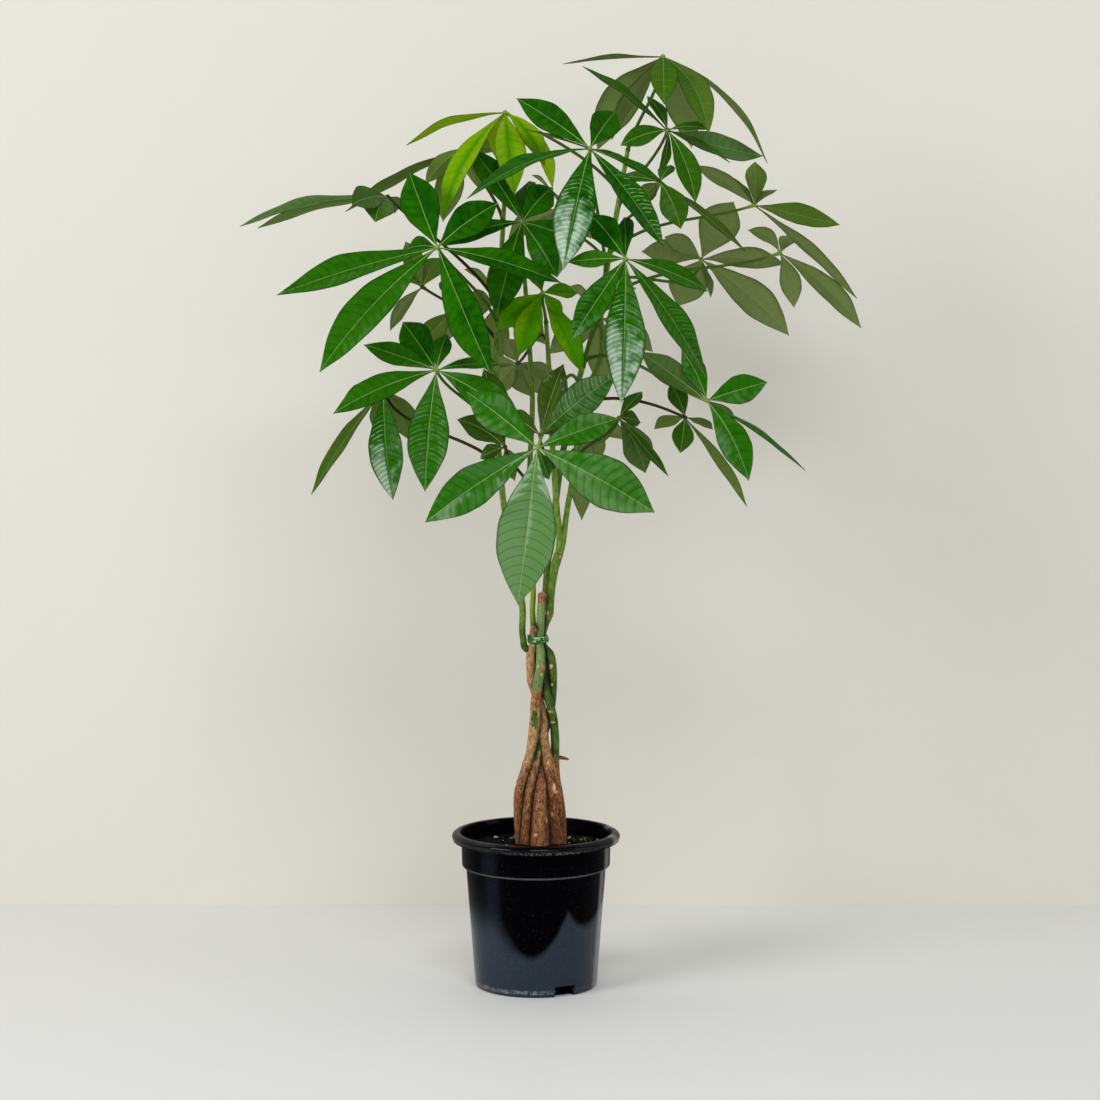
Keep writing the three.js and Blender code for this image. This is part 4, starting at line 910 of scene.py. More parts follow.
LEAVES = {
    "leaf_front_low": Leaf((2, -150, 499), ("shoot_right", 546), (0, -0.9, 0.45),
        (-16, -35, -130, 50, 0, 0.08), (-95, -5, -63, 35, -10, 0.14), (99, -10, -54, 43, 15, 0.12),
        (69, 30, 23, 26, 10, 0.1), (-60, 35, 45, 32, -20, 0.12), (10, 15, -28, 14, -25),
        arrive=(-0.3, -0.65, -0.7)),
    "leaf_front_right": Leaf((77, -115, 658), ("shoot_right", 560), (0.1, -0.85, 0.5),
        (-4, -35, -121, 36, -10, 0.12), (68, -20, -100, 34, -30, 0.16), (-41, -20, -71, 26, 10, 0.1),
        (71, 15, -28, 25, -20, 0.2), (-49, 0, -3, 16, -5), (-29, 40, 37, 25, -20), (0, 50, 35, 19, -40)),
    "leaf_front_top": Leaf((47, -80, 752), ("shoot_right", 645), (0, -0.8, 0.6),
        (-23, -45, -103, 35, 0, 0.14), (63, -30, -84, 31, -25, 0.14), (-63, 15, 43, 25, -15, 0.1),
        (-105, -30, -43, 32, 35, 0.26), (23, 60, 33, 27, 20, 0.1), (67, 10, -32, 22, -35, 0.14),
        (44, 40, -20, 18, -20), (-56, 25, 17, 15, 50, 0.06)),
    "leaf_front_left": Leaf((-85, -65, 667), ("shoot_left", 600), (-0.35, -0.7, 0.6),
        (-139, -5, -41, 40, 10, 0.06), (-100, -40, -106, 42, -5, 0.12), (47, -45, -107, 36, 20, 0.08),
        (-25, 25, 65, 34, 5, 0.1), (52, 20, 38, 30, 36, 0.12), (107, -20, -30, 30, -20, 0.12),
        (-28, 50, -2, 18, -25)),
    "leaf_low_left": Leaf((-86, -70, 561), ("shoot_left", 500), (-0.2, -0.75, 0.6),
        (-9, -35, -103, 36, -15, 0.1), (-89, -15, -37, 29, 0, 0.14), (-64, 20, 21, 22, 0, 0.08),
        (74, -10, -47, 29, 25, 0.22), (56, 20, 4, 18, -15, 0.16), (8, 30, 30, 17, 15),
        (-31, 45, 40, 29, -10, 0.14)),
    "leaf_middle": Leaf((6, -35, 627), ("shoot_middle", 600), (0, -0.5, 0.85),
        (-20, -20, -54, 24, -20, 0.14), (35, -30, -69, 24, -5, 0.12), (-39, -10, -32, 22, -45),
        (31, 25, -1, 16, 30), (21, -10, -18, 14, 5), (-17, 40, 27, 17, -25)),
    "leaf_centre": Leaf((-12, -30, 689), ("stem_4", 640), (0, -0.6, 0.8), (-22, -25, -83, 32, -10, 0.12),
        (-45, 30, 65, 26, -5, 0.1), (27, 40, 30, 27, 30, 0.14), (31, -20, -48, 24, 25),
        (-69, -10, -21, 22, -10, 0.16), (8, 60, 44, 22, -25), (51, 5, -20, 20, 50)),
    "leaf_young": Leaf((-27, -5, 785), ("shoot_right", 714), (-0.1, -0.1, 1),
        (-54, -30, -92, 32, -10, 0.18), (9, -55, -73, 28, -15, 0.26), (-87, -5, -29, 26, 20, 0.13),
        (42, 20, -66, 25, -15, 0.24), (35, -30, -47, 20, 15, 0.24), (-8, 60, -41, 22, -20, 0.24),
        arrive=(-0.85, -0.2, 0.5)),
    "leaf_top": Leaf((113, 20, 835), ("shoot_right", 752), (0, 0, 1), (39, -45, -69, 27, 20, 0.26),
        (-1, -60, -44, 25, 0, 0.22), (94, 10, -94, 26, 20, 0.2), (-89, -10, -7, 24, 5, 0.04),
        (-57, 70, -81, 37, 30, 0.16), (-45, 20, -73, 24, 10, 0.12), (29, 70, -79, 33, -20, 0.2)),
    "leaf_upper_right": Leaf((117, 10, 770), ("shoot_right", 700), (0.5, -0.3, 0.8),
        (-72, 10, 58, 25, 0, 0.06), (24, -25, -64, 23, 35, 0.14), (-42, -15, -14, 18, -45, 0.16),
        (-17, 35, 31, 15, -15), (35, -20, 0, 15, 30, 0.16), (55, -10, -29, 16, 0, 0.1),
        (-7, 15, -40, 14, 40), (88, 50, -22, 30, 20, -0.05), arrive=(0.3, -0.1, 0.95)),
    "leaf_right": Leaf((152, -10, 531), ("shoot_right", 566), (0.3, -0.4, 0.85),
        (36, -30, -69, 28, 45, 0.14), (53, -10, 17, 26, 65, 0.03), (89, 5, -63, 24, -15, 0.05),
        (-22, 15, 45, 20, -45), (-58, 30, 42, 25, -40, 0.02), (23, 50, -25, 18, -35),
        arrive=(0.95, -0.1, -0.3)),
    "leaf_small_right": Leaf((134, 20, 514), ("stem_5", 524), (0.2, 0, 1), (-5, -25, -30, 20, 0, 0.12),
        (-13, 20, 30, 18, -50), (56, 0, -80, 22, -25, 0.05), (26, 20, -12, 14, -25), (-26, 40, -13, 15, 25),
        arrive=(0.9, 0, -0.45)),
    "leaf_middle_right": Leaf((109, -20, 724), ("shoot_right", 676), (0.2, -0.3, 0.9),
        (18, -20, -41, 25, 40, 0.16), (77, 10, -61, 20, 5, 0.04), (11, 25, 15, 15, -15),
        (-17, 30, -20, 16, 40), (-35, 20, 4, 15, -30)),
    "leaf_inner_low": Leaf((4, -50, 503), ("shoot_middle", 468), (0, -0.5, 0.8),
        (67, -13, 54, 30, 50, 0.06), (26, 20, 59, 25, 20, 0.1), (31, 40, 6, 17, 55),
        (-31, 40, 15, 19, -45)),
    "leaf_inner_left": Leaf((-27, -30, 491), ("stem_4", 452), (-0.2, -0.3, 0.9),
        (-42, -10, 25, 22, -70, 0.16), (-42, 30, 48, 27, -35, 0.12), (-22, 15, 41, 19, -20),
        (-22, 10, -11, 15, -50), (8, 40, -33, 16, -25)),
    "leaf_inner_right": Leaf((74, -5, 515), ("shoot_right", 478), (0.2, -0.3, 0.9),
        (24, 14, -50, 28, 62, 0.12), (44, -10, -51, 15, 5, 0.03), (20, 30, -6, 15, 50),
        (21, 40, 14, 14, -5), (-25, 30, -27, 18, 55)),
    "leaf_far_left": Leaf((-131, 0, 711), ("shoot_left", 616), (-0.2, -0.1, 1),
        (-130, -15, -26, 33, -10, 0.11), (-9, -40, -22, 29, -30, 0.2), (-119, 30, -20, 29, 20, 0.08),
        (-28, -60, -7, 25, -60, 0.1), (4, 50, -14, 20, 0), arrive=(-0.7, -0.05, 0.7)),
    "leaf_left_back": Leaf((-137, 25, 540), ("shoot_left", 470), (-0.2, -0.2, 1),
        (9, -20, -99, 32, 0, 0.14), (-65, -10, -95, 28, -5, 0.05), (24, 30, -50, 26, -35, 0.12),
        (-34, -10, -7, 16, -35), (-3, 60, -51, 23, -5, 0.16)),
    "leaf_upper_left": Leaf((-64, 60, 756), ("shoot_left", 690), (-0.3, 0.3, 0.9),
        (-108, -10, -58, 28, 0, 0.05), (-35, -20, -33, 17, 70), (-21, 25, -67, 26, 45, 0.14),
        (12, 60, -38, 22, 40, 0.14), (31, 30, -2, 16, -30)),
    "leaf_back_right": Leaf((153, 130, 654), ("shoot_right", 630), (0.2, 0.4, 0.9),
        (79, 20, -5, 24, -35, 0.1), (85, 40, -72, 34, -30, 0.08), (28, -30, 53, 38, -15, 0.1),
        (-20, 30, -44, 36, 10, 0.12), (-55, 10, 7, 23, 60), (-35, -30, 21, 18, 55), (11, 40, -36, 16, 40)),
    "leaf_far_right": Leaf((200, 95, 704), ("shoot_right", 662), (0.2, 0.2, 1), (79, 10, -18, 26, 60, 0.02),
        (94, -5, -85, 26, -10, 0.05), (3, 45, 40, 20, -10), (-56, -10, 36, 20, 25, 0.1),
        (-19, 35, 34, 14, 0), (22, 60, 14, 18, -10), arrive=(0.9, 0.25, 0.3)),
    "leaf_right_end": Leaf((226, 130, 660), ("stem_5", 616), (0.4, 0.1, 0.9), (75, -10, -69, 27, -40, 0.1),
        (15, 20, -51, 20, -55, 0.12), (-31, -20, 21, 15, 50, 0.3), (14, 50, 16, 16, -15),
        arrive=(0.9, 0.3, 0.3)),
    "leaf_back_low": Leaf((47, 60, 505), ("stem_5", 470), (0, 0.3, 0.9), (-5, 30, -90, 28, -25, 0.14),
        (12, 45, -37, 19, -15), (-25, 60, -18, 20, 15), (35, 50, -17, 18, -30), (3, 60, 24, 19, -20)),
    "leaf_back_centre": Leaf((-17, 80, 560), ("shoot_middle", 585), (0, 0.5, 0.8),
        (11, 35, -32, 29, -15, 0.14), (30, 30, -28, 25, -35, 0.14), (-13, 30, -30, 25, 15, 0.14),
        (35, 0, -9, 15, 0), (-12, 10, 22, 18, 50), (-35, 20, -9, 16, 45), arrive=(-0.3, 0.85, -0.2)),
    "leaf_back_left": Leaf((-103, 60, 630), ("shoot_left", 584), (-0.2, 0.1, 1),
        (-29, -10, -39, 16, 50, 0.14), (16, 20, 26, 20, 55), (-29, 10, 13, 14, -30), (-15, 30, 36, 19, -15),
        (4, 55, 10, 18, 5, 0.1), arrive=(-0.75, 0.3, 0.5)),
    "leaf_behind_left": Leaf((-72, 70, 609), ("shoot_left", 556), (-0.2, 0.2, 1),
        (-35, -20, -41, 22, -80, 0.14), (-16, 20, -33, 18, 45), (20, 50, -29, 19, -20),
        (29, 60, 8, 19, -55), (-13, 60, 26, 19, 15)),
    "leaf_back_top": Leaf((24, 105, 700), ("shoot_right", 650), (0, 0.7, 0.7), (-4, 55, -62, 29, 0, 0.14),
        (48, 45, -32, 26, -10, 0.14), (-50, 45, -26, 26, 10, 0.14), (30, 58, 30, 23, 0, 0.12),
        (-28, 58, 32, 22, 0, 0.12)),
    "leaf_back_middle": Leaf((60, 140, 600), ("stem_5", 596), (0.1, 0.8, 0.6), (4, 50, -72, 31, 0, 0.14),
        (50, 45, -34, 26, -10, 0.14), (-48, 45, -36, 27, 10, 0.14), (34, 52, 26, 23, 0, 0.12),
        (-28, 54, 28, 22, 0, 0.12)),
    "leaf_back_inner": Leaf((-34, 125, 618), ("shoot_left", 575), (-0.1, 0.8, 0.6),
        (-10, 50, -74, 30, 0, 0.14), (42, 45, -44, 26, -10, 0.14), (-54, 45, -32, 26, 10, 0.14),
        (24, 54, 26, 22, 0, 0.12), (-34, 54, 26, 22, 0, 0.12)),
}
print(len(LEAVES), "leaves,", sum(len(leaf.leaflets) for leaf in LEAVES.values()), "leaflets")

# %% [markdown]
# ### Matching each leaflet to its solid
#
# In the solid model a leaflet that would cut through another one is bent or swung aside by a few
# millimetres, and a stalk may be shifted. Rather than repeat that long search, the same small choices are
# tried here in the same order, and the one whose tip lies on the solid's own corner is the right one.

# %% Read the solids' corners
STALK_SHIFTS = (0, 10, -10, 20, -20, 30, -30, 40, -40, 55, -55)
BENDS = (0, -8, 8, -16, 16, -24, 24, -32, 32, -40, 40, -50, 50, -60, 60)
SWINGS = (0, 6, -6, 12, -12, 20, -20, 30, -30)
bend_pairs = sorted(((b, s) for b in BENDS for s in SWINGS), key=lambda pair: math.hypot(*pair))
shift_pairs = sorted(((s, r) for r in STALK_SHIFTS for s in STALK_SHIFTS), key=lambda pair: math.hypot(*pair))


def corners_of(node):
    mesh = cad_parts[node].data
    flat = np.empty(len(mesh.vertices) * 3, np.float32)
    mesh.vertices.foreach_get("co", flat)
    return flat.reshape(-1, 3).astype(float) / MM


def gap_to(corners, point):
    return float(np.linalg.norm(corners - point, axis=1).min())


print("leaf_front_top has", len(corners_of("leaf_front_top")), "corners")

# %% A leaflet's midrib
NEAR_ENOUGH = 0.9


class Midrib:
    """The line of a leaflet and the way its blade faces. The pair, a bend and a swing, moves its tip."""
    def __init__(self, leaf, pair, right, back, up, width, roll=0, bow=0.12):
        self.hub, self.width, self.bow = leaf.hub, width, bow
        self.reach = np.array([right, back, up], float)
        way = unit(self.reach)
        self.flat = unit(leaf.face - way * (leaf.face @ way))
        turn = math.radians(roll)
        self.normal = self.flat * math.cos(turn) + np.cross(way, self.flat) * math.sin(turn)
        self.shift = self.normal * pair[0] + np.cross(way, self.normal) * pair[1]
        self.tip = self.hub + self.reach + self.shift


def used_bend(leaf, leaflet, corners):
    gaps = [gap_to(corners, Midrib(leaf, pair, *leaflet).tip) for pair in bend_pairs]
    return bend_pairs[next((i for i, gap in enumerate(gaps) if gap < NEAR_ENOUGH), int(np.argmin(gaps)))]


print("ways to bend a leaflet:", len(bend_pairs))

# %% [markdown]
# ### The blade
#
# A leaflet is a wedge at its base, widest past its middle, and ends in a point. Side veins run from the
# midrib towards the edge and the tip, and the blade puffs up between them. Its ring is the upper face from
# one edge to the other and the lower face back again, half a millimetre apart. The points are packed
# closer beside the midrib, where the upper face has a groove and the lower one a rib.

# %% Curves and widths
def bezier(controls, s):
    """Points and ways along the curve that a few control points give."""
    s = np.asarray(s, float)[:, None]
    while len(controls) > 2:
        controls = [a + (b - a) * s for a, b in zip(controls, controls[1:])]
    start, end = controls
    return start + (end - start) * s, unit(end - start)


def width_share(s):
    return np.maximum(np.sin(math.pi * s ** 1.27) ** 1.05, 0)


def stations(half):
    """Places across a blade, from 1 at one edge to -1 at the other, closer together beside the midrib."""
    rib = np.clip(0.75 / half, 0.02, 0.3)
    t = np.array([1, 0.95, 0.8, 0.62, 0.44, 0.26]) * (1 - rib) + rib
    return np.hstack([t, rib, rib * 0.45, rib * 0, -rib * 0.45, -rib, -t[:, ::-1]])


print("a blade 20 mm wide has", stations(np.array([[10.0]])).shape[1], "places across")

# %% Shape a leaflet
FOLD, THICK = 0.16, 0.24
SMALL_LEAFLET = 82
VEIN_GAP, ROWS_A_VEIN = 8.2, 5


def leaflet_form(midrib, dice, tone, olive, shine, lit=0.0):
    long = float(np.linalg.norm(midrib.reach))
    middle = midrib.hub + midrib.reach / 2 + midrib.flat * midrib.bow * long + midrib.shift / 2
    veins = max(6, round(long / VEIN_GAP))
    s = np.linspace(0, 1, veins * ROWS_A_VEIN + 2) ** 0.97
    centre, ways = bezier((midrib.hub, middle, midrib.tip), s)
    side = unit(np.cross(midrib.normal, ways))
    up = np.cross(ways, side)

    s = s[:, None]
    share = width_share(s)
    half = midrib.width / 2 * share * (1 + 0.012 * np.sin(s * 31 + dice.uniform(0, 6)))
    half = np.maximum(half, np.where(s < 0.5, 0.7, 0.4))
    t = stations(half)
    beside = t * half
    hollow = 0.45 if long < SMALL_LEAFLET else 0
    cup = FOLD * half * share * (abs(t) * (1.4 - 0.4 * abs(t)) - hollow)
    vein = veins * (s - (0.1 + 0.4 * abs(t)) * abs(beside) / long) + 0.25
    puff = (abs(np.sin(math.pi * vein)) ** 0.7 - 0.55) * np.sin(math.pi * np.clip(abs(t), 0, 1)) ** 0.6
    sway = 2 * math.pi * (dice.uniform(1.5, 2.6) * s + dice.uniform(0, 1)) + (t > 0) * dice.uniform(0, 3)
    high = cup + 0.05 * half * t ** 2 * np.sin(sway) + (0.016 + 0.010 * shine) * half * puff
    groove = fall(beside, 0.7) * (1 - s) ** 0.5
    spread = centre[:, None] + side[:, None] * beside[..., None]
    upper = spread + up[:, None] * (high + THICK - 0.25 * groove)[..., None]
    lower = spread + up[:, None] * (high - THICK - 0.75 * groove)[..., None]

    def both(values, below=None):
        above = np.broadcast_to(values, t.shape)
        below = above if below is None else np.full(t.shape, below)
        return np.concatenate([above, below[:, ::-1]], 1)

    # Painted light: one half of each leaflet, picked at random, is lighter and the other darker, as the two
    # halves of a fold catch the light differently.
    painted_lit_half = 0.14 * dice.choice([-1, 1]) * np.sign(t)
    return ringed(np.concatenate([upper, lower[:, ::-1]], 1), along=both(s), beside=both(abs(beside)),
                  edge=both(abs(t)), vein=both(vein), under=both(0.0, 1.0), stalk=0.0,
                  tone=both(tone + painted_lit_half), olive=olive, shine=shine, lit=both(lit * np.sign(t)))

# %% [markdown]
# ### The stalk and the hub
#
# A stalk leaves its stem steeply, thickened at the foot, bows out, and swells into the hub. It is one tube
# along a curve with four control points, the last of which is the hub itself.

# %% Shape a stalk
STALK_R, HUB_R = 1.25, 2.1
HUB_END = [(0.9, 0.96), (1.7, 0.75), (2.2, 0.4), (2.35, 0.1)]


def bearing_run(name):
    for stem, runs in STEMS.items():
        if name in runs or name == stem:
            return runs.get(name, runs["trunk"])
    raise ValueError(name)


def stalk_curve(leaf, pair):
    name, height = leaf.on
    places = np.array(bearing_run(name), float)
    later = max(1, int(np.argmax(places[:, 2] >= height)))
    low, high = places[later - 1, :3], places[later, :3]
    start = low + (high - low) * (height - low[2]) / (high[2] - low[2])
    span = leaf.hub - start
    third = np.linalg.norm(span) / 3
    out = unit(unit([span[0], span[1], max(span[2], 0)]) + (0, 0, 0.5))
    shift = unit(np.cross(span, (0, 0, 1))) * pair[0] + np.array([0, 0, pair[1]])
    return start, start + out * third + shift * 0.7, leaf.hub - leaf.arrive * third + shift, leaf.hub


def used_shift(leaf, corners):
    marks = np.array([0.25, 0.5, 0.75])

    def misfit(pair):
        points, _ = bezier(stalk_curve(leaf, pair), marks)
        return sum(abs(gap_to(corners, p) - STALK_R - 0.35 * (1 - s)) for p, s in zip(points, marks))
    return min(shift_pairs, key=misfit)


def stalk_form(leaf, pair, olive):
    s = np.linspace(0, 1, 34)
    points, ways = bezier(stalk_curve(leaf, pair), s)
    radius = STALK_R + 0.3 * (1 - s) + 0.9 * fall(s, 0.035, 1) + (HUB_R - STALK_R) * fall(1 - s, 0.028, 1.5)
    end = np.array([[*(points[-1] + ways[-1] * past), HUB_R * share] for past, share in HUB_END])
    rings, _, _ = tube(np.vstack([np.column_stack([points, radius]), end]), 10)
    along = np.minimum(np.linspace(0, 1.1, len(rings)), 1)[:, None]
    return ringed(rings, along=along, beside=5.0, edge=0.0, vein=0.5, under=0.0, stalk=1.0, tone=0.0,
                  olive=olive, shine=0.0, lit=0.0)

# %% [markdown]
# ### Colour of the blades
#
# Young leaves are lime with a green band along the middle, and the front ones a deep wet green. The
# ones at the back, in the shade of the crown, show their dull undersides, and their shaded copy of the
# finish paints them paler and hazier, as light from behind them makes them look. The finish reads the
# numbers kept on the points: how far from the midrib, which vein, which face. A blade's lightness is
# partly painted light: it is darker in the vein grooves, lighter and darker over the puckers, and one half
# of each leaflet is lighter than the other. A leaf also lets some light through, so a share of the shader
# is translucent, in a warmer green.
#
# On a shiny leaflet the crests between the veins catch the window as short strokes, which run together
# into a sheet of sheen towards the tip. A clear coat over the relief blurs them into one smear, because
# the crests are finer than its mesh. So the strokes and the sheet are painted highlights in the colour,
# and the coat stays thin.

# %% Finish the leaves
BLADE_TINTS = ("deep", "middling", "pale", "olive", "rib", "glow")


def blade_finish(name, under, **tints):
    finish = Finish(name, **{"Specular IOR Level": 0.02, "Coat Roughness": 0.12, "Coat IOR": 1.6})
    shaded, young = name == "leaf_shaded", name == "leaf_young_lime"
    deep, middling, pale, olive, rib, glow = (colour(*tints[key]) for key in BLADE_TINTS)
    lower, shine, along, edge = (finish.kept(key) for key in ("under", "shine", "along", "edge"))
    stalk, tone, vein = (finish.kept(key) for key in ("stalk", "tone", "vein"))
    blade = 1 - stalk
    mottle, puckers = finish.noise(260.0, 3.0), finish.noise(120.0, 2.0)

    def to_and_fro(value):
        return finish.node("ShaderNodeMath", {"operation": "PINGPONG"}, {0: value, 1: 0.5})

    def dome(wave):
        return 1 - (1 - wave * 2) * (1 - wave * 2)

    net = finish.node("ShaderNodeTexVoronoi", {"feature": "DISTANCE_TO_EDGE"}, {"Scale": 420.0})
    net = (1 - finish.ease(net, 0.0, 0.16)) * blade
    ripple, crest = to_and_fro(vein), to_and_fro(vein * 2)
    veins = (1 - finish.ease(ripple, 0.02, 0.09)) * blade
    midrib = (1 - finish.ease(finish.kept("beside") + along * 0.2, 0.22, 0.58)) * blade
    # The blade's lightness: its tone, which is partly painted light, random patches, and painted shade that
    # darkens the vein grooves and follows the puckers of the relief.
    tone_and_painted_light = tone + (finish.noise(30.0, 3.0) - 0.5) * 0.8 + (puckers - 0.5) + (mottle - 0.5) * 0.4
    tone_and_painted_light = tone_and_painted_light + (dome(ripple) - 0.6) * 0.16 + finish.ease(edge, 0.2, 0.9) * 0.14 - 0.04

    # Painted highlights on shiny leaflets: thin pale strokes on the crests between the veins and, towards the
    # tip, a pale sheet of sheen, on the half that faces the window. Inside the sheen the midrib's pale tint
    # fades.
    glossy = finish.ease(shine, 0.5, 0.95) * (1 - lower) * blade
    sheen_zone = finish.ease(along + (puckers - 0.5) * 0.5, 0.4, 0.8) * finish.ease(shine, 0.8, 0.95) * (1 - lower)
    side = finish.ease(finish.kept("lit"), -1.0, 0.6)
    within = (1 - finish.ease(edge, 0.8, 0.95)) * finish.ease(edge, 0.06, 0.18)
    painted_sheen = sheen_zone * within * finish.ease(puckers * 0.9 + mottle * 0.5 + side * 0.5, 0.6, 1.15)
    highlight_strokes = finish.ease(crest + (mottle - 0.5) * 0.1 + sheen_zone * 0.06, 0.4, 0.47) * glossy * within * side
    highlight_strokes = highlight_strokes * finish.ease(along, 0.2, 0.4)
    highlight_strokes = highlight_strokes * finish.ease(puckers * 0.8 + mottle * 0.4 + sheen_zone * 0.1, 0.5, 0.68)

    top = finish.layered(deep, (finish.ease(tone_and_painted_light, -1.0, 0.0), middling),
                         (finish.ease(tone_and_painted_light, 0.0, 1.0), pale), (finish.kept("olive"), olive),
                         (veins * (0.3 + shine * 0.2) + net * 0.12, pale if shaded else deep),
                         (painted_sheen * 0.86, colour(190, 216, 192)), (highlight_strokes * 0.8, colour(222, 240, 216)))
    if young:
        band = (1 - finish.ease(edge, 0.0, 0.5)) * finish.ease(along, 0.05, 0.3)
        tip = finish.ease(along, 0.55, 0.95) * 0.7
        band = finish.node("ShaderNodeMath", {"operation": "MAXIMUM"}, {0: band, 1: tip})
        top = finish.blend(band * 0.85, top, deep)
    # The underside is painted lighter with the leaflet's tone as well.
    bottom = finish.layered(colour(*under),
                            (mottle * 0.6 + veins * 0.35 + net * 0.2 - 0.05, colour(*under, 1.4)),
                            (finish.ease(tone, 0.0, 1.4) * 0.7, pale))
    shade = finish.layered(top, (lower, bottom), (midrib * (0.85 - lower * 0.4 - sheen_zone * 0.5), rib))
    if shaded:
        shade = finish.blend(finish.ease(edge, 0.6, 1.0) * 0.3, shade, deep)
    skin = finish.layered(colour(70, 98, 32), (finish.ease(along, 0.88, 0.98), colour(124, 152, 62)),
                          (finish.kept("olive"), colour(58, 42, 26)))
    rim = finish.ease(edge, 0.9, 1.0) * 0.75 * blade
    shade = finish.layered(shade, (rim, colour(26, 38, 10)), (stalk, skin))

    relief = dome(ripple) * 0.7 - midrib * 0.5 + dome(crest) * (0.15 + shine * 0.7)
    relief = (relief + puckers * 0.9 + mottle * 0.25) * blade - net * 0.1
    thin = 0.6 - finish.ease(shine, 0.5, 0.6) * (0.56 - finish.ease(along, 0.5, 0.9) * 0.26)
    finish.done(Base_Color=shade, Roughness=0.46 + lower * 0.2 + mottle * 0.1,
                Coat_Weight=shine * (1 - lower * 0.8) * thin, Normal=finish.bump(relief, 0.6))
    through = finish.node("ShaderNodeBsdfTranslucent", inputs={"Color": glow})
    share = blade * (0.3 if shaded else 0.2)
    reflected = Value(finish, finish.shader.outputs[0])
    mixed = finish.node("ShaderNodeMixShader", inputs={0: share, 1: reflected, 2: through})
    finish.feed(finish.tree.nodes["Material Output"], {"Surface": mixed})
    return finish.material


print("tints of a blade:", ", ".join(BLADE_TINTS))

# %% Make the three leaf finishes
leaf_finish = blade_finish(
    "leaf_green", deep=(14, 76, 3), middling=(44, 114, 4), pale=(104, 148, 84), under=(104, 130, 58),
    olive=(88, 100, 36), rib=(164, 196, 112), glow=(90, 180, 4))
# The shaded copy for the leaves at the back: its paler, hazier greens are painted light from behind them,
# over the duller underside.
shaded_finish = blade_finish(
    "leaf_shaded", deep=(62, 112, 6), middling=(96, 124, 44), pale=(132, 154, 86), under=(128, 144, 86),
    olive=(92, 106, 60), rib=(150, 176, 108), glow=(130, 170, 60))
young_finish = blade_finish(
    "leaf_young_lime", deep=(72, 150, 1), middling=(134, 176, 8), pale=(166, 192, 70), under=(152, 186, 24),
    olive=(120, 140, 30), rib=(92, 140, 14), glow=(176, 224, 10))

# %% [markdown]
# ### Growing all the leaves
#
# Each leaf becomes one piece: its stalk and its leaflets together, in place of the solid leaf. The lists
# hold what differs: which leaves are young or in the shade, which stalks are brown and, for a whole leaf or
# for one leaflet by its number, how light it is, how olive, how shiny, and which side faces the window.
# How light a leaflet is stands partly for light and shade painted on it, and how shiny it is sets both its
# coat and its painted highlights, on the side that faces the window.

# %% Grow the leaves
YOUNG = ("leaf_young", "leaf_middle")
# The leaves in the shade that take the shaded copy of the finish.
SHADED = ("leaf_back_right", "leaf_far_right", "leaf_right_end", "leaf_back_low", "leaf_back_centre",
          "leaf_back_left", "leaf_behind_left", "leaf_back_top", "leaf_back_middle", "leaf_top")
BROWN_STALKS = ("leaf_back_left", "leaf_behind_left", "leaf_left_back", "leaf_far_left", "leaf_back_centre",
                "leaf_small_right", "leaf_back_low", "leaf_inner_left", "leaf_back_inner")
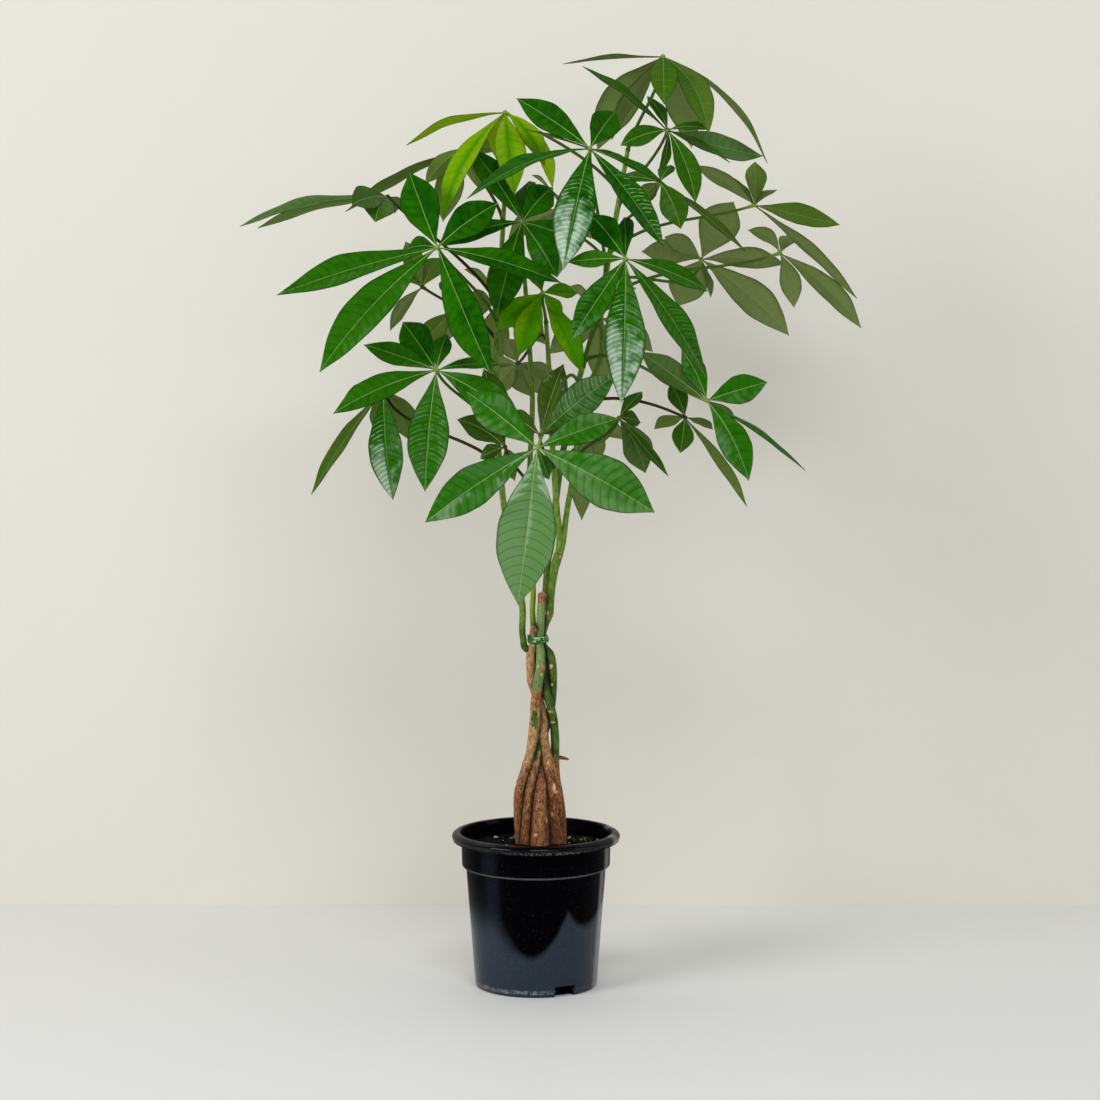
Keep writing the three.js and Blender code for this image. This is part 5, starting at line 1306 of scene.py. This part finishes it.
# A leaflet's tone here is partly painted light: leaves lit from behind or sitting in shade were set lighter
# or darker.
LOOKS = {
    "leaf_front_low": {"all": (0.1, 0, 0.2), 0: (1.2, 0, 0.5), 1: (0.05, 0, 0.48), 2: (0.45, 0, 0.1),
        3: (0.3, 0, 0)},
    "leaf_front_right": {"all": (-0.2, 0.1, 0.05), 0: (0.2, 0, 1.0, -0.4), 1: (-0.1, 0.1, 0.6, 1),
        2: (-0.4, 0, 0.6, -0.5), 5: (-0.7, 0, 0), 6: (-0.6, 0, 0)},
    "leaf_front_top": {"all": (-0.5, 0.05, 0), 0: (-0.35, 0, 0.95, -0.2), 1: (-0.45, 0, 0.78, 1),
        3: (-0.4, 0, 0.1)},
    "leaf_front_left": {"all": (-0.5, 0, 0), 1: (-0.05, 0.05, 0), 0: (-0.15, 0.05, 0)},
    "leaf_low_left": {"all": (-0.2, 0.05, 0.1), 0: (0.0, 0.05, 0.68), 6: (-0.6, 0, 0)},
    "leaf_left_back": {"all": (0.1, 0.3, 0.1), 0: (-0.05, 0, 0.9, -1), 1: (0.2, 0.6, 0), 2: (-0.1, 0.5, 0)},
    "leaf_middle": {"all": (-0.75, 0, 0)},
    "leaf_centre": {"all": (-0.35, 0, 0.05)},
    "leaf_far_left": {"all": (0.2, 0.4, 0.3)},
    "leaf_upper_left": {"all": (-0.6, 0.5, 0.1)},
    "leaf_inner_low": {"all": (0.1, 0.7, 0.2), 0: (0.55, 0.1, 0.74, 0.3)},
    "leaf_inner_left": {"all": (-0.3, 0.5, 0.2)},
    "leaf_inner_right": {"all": (-0.1, 0.4, 0.1), 0: (1.3, 0.5, 0)},
    "leaf_upper_right": {"all": (-0.1, 0.25, 0), 7: (1.4, 0.3, 0)},
    "leaf_middle_right": {"all": (0.05, 0.3, 0), 1: (0.1, 0.7, 0)},
    "leaf_right": {"all": (0.0, 0.0, 0.1), 4: (1.1, 0.5, 0)},
    "leaf_small_right": {"all": (-0.2, 0.4, 0)},
    "leaf_top": {"all": (0.9, 0, 0), 0: (-0.45, 0, 0), 1: (-0.9, 0, 0), 2: (0.5, 0.2, 0), 3: (0, 0.3, 0)},
    "leaf_back_centre": {"all": (0.5, 0, 0)},
    "leaf_back_inner": {"all": (-0.5, 0.3, 0)},
    "leaf_right_end": {"all": (1.0, 0, 0.1), 1: (0.1, 0.2, 0)},
    "leaf_far_right": {"all": (0.2, 0, 0), 0: (-0.2, 0, 0), 1: (-0.6, 0, 0.2), 3: (0.6, 0, 0)},
    "leaf_back_low": {"all": (0.4, 0.3, 0)},
}

for number, (name, leaf) in enumerate(LEAVES.items()):
    corners = corners_of(name)
    dice = np.random.default_rng(100 + number)
    looks = LOOKS.get(name, {"all": (0, 0, 0)})
    brown = 0.9 if name in BROWN_STALKS else looks["all"][1]
    forms = [stalk_form(leaf, used_shift(leaf, corners), brown)]
    bends = [used_bend(leaf, leaflet, corners) for leaflet in leaf.leaflets]
    for order, (leaflet, bend) in enumerate(zip(leaf.leaflets, bends)):
        forms.append(leaflet_form(Midrib(leaf, bend, *leaflet), dice, *looks.get(order, looks["all"])))
    young = name in YOUNG
    finish = young_finish if young else shaded_finish if name in SHADED else leaf_finish
    dress(f"{name}_blades", together(forms), finish, name)
    print(name, len(bends), "leaflets, moved:", [bend for bend in bends if bend != (0, 0)])

# %% [markdown]
# ## Checking the size
#
# The dressed plant must stay in the box of the solid model, since a shop or a game engine trusts that box.
# The last cell measures the dressed plant's box and prints how far it grew past the solid one at each corner.

# %% Keep both boxes and finish
dressed_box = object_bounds()
grown = 1000 * np.subtract(solid_box, dressed_box)
print("grew by", grown[0].round(1), "mm at the low corner and", -grown[1].round(1), "mm at the high one")
